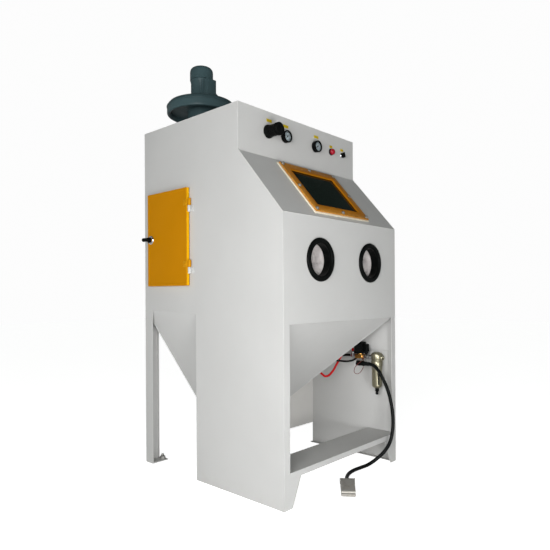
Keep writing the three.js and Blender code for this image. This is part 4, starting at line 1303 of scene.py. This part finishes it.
class CABINET_OT_air_unit(bpy.types.Operator):
    """Air filter, solenoid valve, bracket, hoses and the little wire loop"""

    bl_idname = "cabinet.air_unit"
    bl_label = "Air supply unit"

    def execute(self, context):
        self.filter_unit()
        self.valve()
        self.hoses()
        paint_node("air_bracket", "body")
        return {"FINISHED"}

    def filter_unit(self):
        base = at(845, 80, 0)
        dome = turned("filter_dome", [
            (22, 502.4), (30, 503), (31, 506), (31, 530), (30, 532), (29, 533.4), (29, 538),
            (30.4, 541), (30.4, 566), (29, 571), (24, 575.6), (17, 577), (16, 578), (15, 579.6),
            (6, 580)], base, UP, 56)
        inlet = turned("filter_inlet", [(16, 10), (16, 33), (14.6, 35), (13, 38), (11, 38),
                                        (10, 37), (9.4, 30)], at(845, 80, 550), FORWARD, 32)
        boss = turned("filter_boss", [(12, 24), (12, 35), (10, 37), (5, 37.4)],
                      at(845, 80, 553), (0.35, -0.94, 0), 24)
        nipple = turned("filter_nipple", [(12, 22), (14.5, 24), (14.5, 36), (12, 38), (10, 39),
                                          (10, 52), (13.8, 54), (13.8, 68), (12.4, 70),
                                          (10, 71), (10, 81)], at(845, 80, 550), (0, 1, 0), 6)
        settle(join("filter_dome", dome, inlet, boss), "cabinet", "cast_alloy", "alloy",
               "filter_head")
        settle(nipple, "cabinet", "steel", "steel")
        bowl = turned("filter_cup", [
            (6, 386), (14, 387), (21, 390.5), (25.4, 396), (27, 403), (27, 486), (28.6, 488),
            (28.6, 500.6), (26, 501.4)], base, UP, 72)
        edit(bowl)
        low, high = at(0, 0, 403).z, at(0, 0, 486).z
        toward = Vector((-0.64, -0.77, 0))
        in_slot = lambda f: (low < f.calc_center_median().z < high
                             and f.normal.dot(toward) > 0.955)
        pick(bowl, "FACE", in_slot)
        bpy.ops.mesh.inset(thickness=0.0035, depth=-0.0012)
        mesh = bmesh.from_edit_mesh(bowl.data)
        chosen = [face.calc_center_median() for face in mesh.faces if face.select]
        finish_mesh(bowl)
        paint(bowl, "alloy")
        bowl.data.materials.append(MATERIALS["black"])
        for face in bowl.data.polygons:
            if any((face.center - spot).length < 1e-5 for spot in chosen):
                face.material_index = 1
        settle(bowl, "cabinet", "cast_alloy", None, "filter_bowl")
        drain = turned("filter_drain", [
            (3, 351), (6, 351.4), (8, 353), (8, 362), (6.4, 363.6), (6.4, 368), (9.6, 369),
            (10.4, 371), (10.4, 383), (9.4, 386.6), (4, 387)], base, UP, 28)
        settle(drain, "cabinet", "black_plastic", "black")

    def valve(self):
        x, y = 845, 187
        body = block("valve_block", (x - 18, y - 23, 538.4), (x + 18, y + 23, 560.8), 0.0025, 3)
        ports = [turned(f"valve_port_{k}", [(10, 20), (13, 21), (13, 25.4), (10, 25.5)],
                        at(x, y, 549), (0, direction, 0), 6)
                 for k, direction in enumerate((-1, 1))]
        stem = turned("valve_stem", [(14, 560), (15.4, 561), (15.4, 566), (12, 567)],
                      at(x, y, 0), UP, 32)
        settle(join("valve_block", body, *ports, stem), "cabinet", "brass", "brass",
               "solenoid_valve")
        coil = block("coil_shell", (x - 22, y - 26, 566), (x + 22, y + 24, 629), 0)
        edit(coil)
        bpy.ops.mesh.select_all(action="SELECT")
        bpy.ops.mesh.subdivide(number_cuts=6)
        pick(coil, "FACE", lambda f: abs(f.normal.z) < 0.2 and abs(
            f.calc_center_median().z - at(0, 0, 597.5).z) < 0.024)
        bpy.ops.mesh.inset(thickness=0.0012, depth=-0.0011, use_individual=True)
        soften(coil, 0.002, 2, lambda e: e.calc_face_angle(0) > 1.2 and all(
            f.calc_area() > 3.2e-5 for f in e.link_faces))
        finish_mesh(coil)
        plug = block("coil_plug", (x - 12, y - 52, 578), (x + 12, y - 25, 619), 0.003, 3)
        nut = turned("coil_nut", [(9, 628.6), (10, 629.6), (10, 634), (8, 636)], at(x, y, 0),
                     UP, 6)
        lead = turned("coil_lead_gland", [(8, 0), (9, 1), (9, 9), (6.6, 11), (6, 14)],
                      at(x, y - 40, 578), -UP, 20)
        settle(join("coil_shell", coil, plug, nut, lead), "cabinet", "black_plastic", "black",
               "solenoid_coil")

    def hoses(self):
        start = 212.3
        fitting = turned("hose_coupling", [
            (9, 0), (13, 0.6), (13, 10), (11, 11), (10, 12), (10, 16), (13, 17), (13, 28),
            (11.4, 29), (9.6, 34)], at(845, start, 550), (0, 1, 0), 6)
        tee = turned("hose_tee", [(7, 6), (7.6, 14), (9, 15), (9, 22), (6, 25.6)],
                     at(845, start + 22, 550), UP, 20)
        settle(join("hose_coupling", fitting, tee), "cabinet", "steel", "steel")
        route = [at(*p) for p in ((845, start + 30, 550), (845, 268, 550), (832, 300, 547),
                                  (798, 324, 543), (755, 332, 540), (712, 332, 540),
                                  (690, 332, 540))]
        hose = pipe("black_air_hose", smooth_route(route, 0.005), 0.007)
        ferrule = turned("hose_ferrule", [(7.2, 0), (10, 1), (10, 7), (9, 8), (10, 9), (10, 20),
                                          (8, 22)], at(706, 332, 540), LEFTWARD, 28)
        settle(join("black_air_hose", hose, ferrule), "cabinet", "rubber", "rubber", "air_hose")
        route = [at(*p) for p in (
            (845, 234.3, 576.6), (844, 235, 590), (832, 243, 600), (815, 254, 594),
            (799, 266, 572), (787, 279, 538), (773, 294, 502), (757, 308, 466), (738, 322, 443),
            (716, 331, 439), (694, 337, 455), (670, 342, 472), (650, 346, 482))]
        red = pipe("red_air_hose", smooth_route(route, 0.004), 0.006)
        tip = turned("red_ferrule", [(6.2, 0), (8, 1), (8, 7), (7, 8), (8, 9), (8, 16), (6, 17)],
                     at(656, 345, 479), at(640, 347, 487) - at(656, 345, 479), 24)
        settle(join("red_air_hose", red, tip), "cabinet", "red_hose", "red_hose", "red_hose")
        second = [at(*p) for p in ((838, 205, 540), (826, 222, 526), (806, 246, 520),
                                   (782, 272, 522), (756, 298, 527), (734, 318, 531),
                                   (716, 330, 533))]
        lower = pipe("lower_air_hose", smooth_route(second, 0.005), 0.0055)
        settle(lower, "cabinet", "rubber", "rubber")
        loop = [at(*p) for p in ((833, 160, 552), (816, 152, 536), (780, 144, 526),
                                 (745, 141, 516), (722, 140, 500), (717, 140, 484),
                                 (735, 141, 470), (765, 142, 468), (795, 144, 480),
                                 (819, 148, 500), (836, 158, 524), (842, 166, 540))]
        wire = pipe("valve_wire", smooth_route(loop, 0.003), 0.0016, 3)
        settle(wire, "cabinet", "rubber", "wire")


class CABINET_OT_foot_switch(bpy.types.Operator):
    """Cast foot switch with its rocking pedal"""

    bl_idname = "cabinet.foot_switch"
    bl_label = "Foot switch"

    def execute(self, context):
        base = self.wedge("switch_body", -32, 32, ((-60, 0.2), (60, 0.2), (60, 30), (40, 32),
                                                   (-60, 12)), 0.003)
        ears = [self.wedge(f"switch_ear_{k}", low, low + 3,
                           ((40, 20), (56, 20), (56, 44), (52, 46.5), (44, 46.5), (40, 44)),
                           0.0008) for k, low in enumerate((-34.9, 31.9))]
        socket = turned("switch_socket", [(12, 0), (13.5, 1), (13.5, 6), (12, 8)],
                        by_pedal(0, 59.5, 18), by_pedal(0, 1, 0) - by_pedal(0, 0, 0), 6)
        settle(join("switch_body", base, *ears, socket), "cabinet", "switch_paint", "switch",
               "foot_switch_base")

        plate = self.wedge("switch_pedal", -31.5, 31.5, ((54, 36), (54, 43), (46, 46.6),
                                                         (-62, 25.8), (-63, 18.5)), 0.0022)
        edit(plate)
        up = (by_pedal(0, 46, 46.6) - by_pedal(0, -62, 25.8)).cross(
            by_pedal(-1, 0, 0) - by_pedal(0, 0, 0))
        up = up if up.z > 0 else -up
        up.normalize()
        pick(plate, "FACE", lambda f: f.normal.dot(up) > 0.985 and f.calc_area() > 0.002)
        bpy.ops.mesh.inset(thickness=0.005, depth=0)
        bpy.ops.mesh.subdivide(number_cuts=11)
        pick(plate, "FACE", lambda f: f.normal.dot(up) > 0.985 and f.calc_area() < 1.2e-4)
        bpy.ops.mesh.inset(thickness=0.0011, depth=0.0009, use_individual=True)
        finish_mesh(plate)
        pin = turned("pedal_pin", rounded(3, -34.8, 34.8, 0.6), by_pedal(0, 48, 40),
                     by_pedal(1, 0, 0) - by_pedal(0, 0, 0), 20)
        settle(join("switch_pedal", plate, pin), "pedal", "switch_paint", "switch",
               "foot_pedal")
        nose = self.wedge("pedal_nose", -31.2, 31.2, ((-58, 19.2), (-58, 26.4), (-63.2, 25.6),
                                                      (-64.6, 22.6), (-63.4, 17.8)), 0.001)
        settle(nose, "pedal", "switch_paint", "switch_edge")
        return {"FINISHED"}

    def wedge(self, name, left, right, outline, edge):
        """A slab across the switch: its side outline, extruded to the other side."""
        begin()
        bpy.ops.mesh.primitive_circle_add(vertices=len(outline), radius=0.01, fill_type="NGON")
        piece = fresh(name)
        for vertex, (y, z) in zip(piece.data.vertices, outline):
            vertex.co = by_pedal(left, y, z)
        edit(piece)
        bpy.ops.mesh.select_mode(type="FACE")
        bpy.ops.mesh.select_all(action="SELECT")
        across = by_pedal(right, 0, 0) - by_pedal(left, 0, 0)
        bpy.ops.mesh.extrude_region_move(TRANSFORM_OT_translate={"value": across})
        bpy.ops.mesh.select_all(action="SELECT")
        bpy.ops.mesh.normals_make_consistent(inside=False)
        soften(piece, edge, 2, lambda e: e.calc_face_angle(0) > 0.2)
        return finish_mesh(piece)


class CABINET_OT_interior(bpy.types.Operator):
    """Blast gun on the grate and the work lamp under the roof"""

    bl_idname = "cabinet.interior"
    bl_label = "Chamber fittings"

    def execute(self, context):
        centre = at(450, 0, 838.6)
        back = (0, 1, 0)
        barrel = turned("gun_body", [(12, 175), (18, 177), (19, 181), (19, 200), (17.4, 203),
                                     (17.4, 252), (19, 255), (19, 280), (17, 285)], centre,
                        back, 40)
        nozzle = turned("gun_nozzle", [(6, 125), (9.6, 126), (10.4, 132), (12.4, 160),
                                       (14.4, 168), (14.4, 178)], centre, back, 32)
        inlet = turned("gun_inlet", [(13, 283), (13, 290), (10, 292), (10.6, 300), (9.4, 301),
                                     (10.4, 309), (8, 312)], centre, back, 28)
        feed_port = turned("gun_feed", [(12.6, 0), (12.6, 34), (10.2, 37), (11, 44), (9.6, 45),
                                        (10.4, 54), (8, 55)], at(450, 250, 842.6),
                           (0.94, 0.33, 0.03), 28)
        settle(join("gun_body", barrel, nozzle, inlet, feed_port), "cabinet", "steel",
               "dull_steel", "blast_gun")
        case = block("work_lamp_case", (330, 420, 1722), (570, 500, 1751), 0.004, 3)
        edit(case)
        pick(case, "FACE", faces_towards(-UP))
        bpy.ops.mesh.inset(thickness=0.008, depth=0)
        bpy.ops.mesh.inset(thickness=0.002, depth=-0.004)
        finish_mesh(case)
        settle(case, "cabinet", "dial_white", "dial")
        return {"FINISHED"}


# ---------------------------------------------------------------- panel and registration

STEPS = ("stage", "foot_cable", "sheet_metal", "window", "door", "ports", "gloves", "controls",
         "fan", "air_unit", "foot_switch", "interior")


class CABINET_PT_sidebar(bpy.types.Panel):
    """Lists the cabinet's settings and building steps"""

    bl_idname = "CABINET_PT_sidebar"
    bl_label = "Blast Cabinet"
    bl_space_type = "VIEW_3D"
    bl_region_type = "UI"
    bl_category = "Blast Cabinet"

    def draw(self, context):
        for group in (context.scene.cabinet_colours, context.scene.cabinet_sizes):
            for key in group.__annotations__:
                self.layout.prop(group, key)
        for step in STEPS:
            self.layout.operator(f"cabinet.{step}")


CLASSES = (
    CabinetColours, CabinetSizes, CABINET_OT_stage, CABINET_OT_foot_cable,
    CABINET_OT_sheet_metal, CABINET_OT_window, CABINET_OT_door, CABINET_OT_ports,
    CABINET_OT_gloves, CABINET_OT_controls, CABINET_OT_fan, CABINET_OT_air_unit,
    CABINET_OT_foot_switch, CABINET_OT_interior, CABINET_PT_sidebar,
)


def register():
    for kind in CLASSES:
        bpy.utils.register_class(kind)
    bpy.types.Scene.cabinet_colours = bpy.props.PointerProperty(type=CabinetColours)
    bpy.types.Scene.cabinet_sizes = bpy.props.PointerProperty(type=CabinetSizes)


def unregister():
    del bpy.types.Scene.cabinet_colours
    del bpy.types.Scene.cabinet_sizes
    for kind in reversed(CLASSES):
        bpy.utils.unregister_class(kind)


def main():
    register()
    build_groups()
    make_materials()
    for step in STEPS:
        getattr(bpy.ops.cabinet, step)()
    begin()


if __name__ == "__main__":
    main()
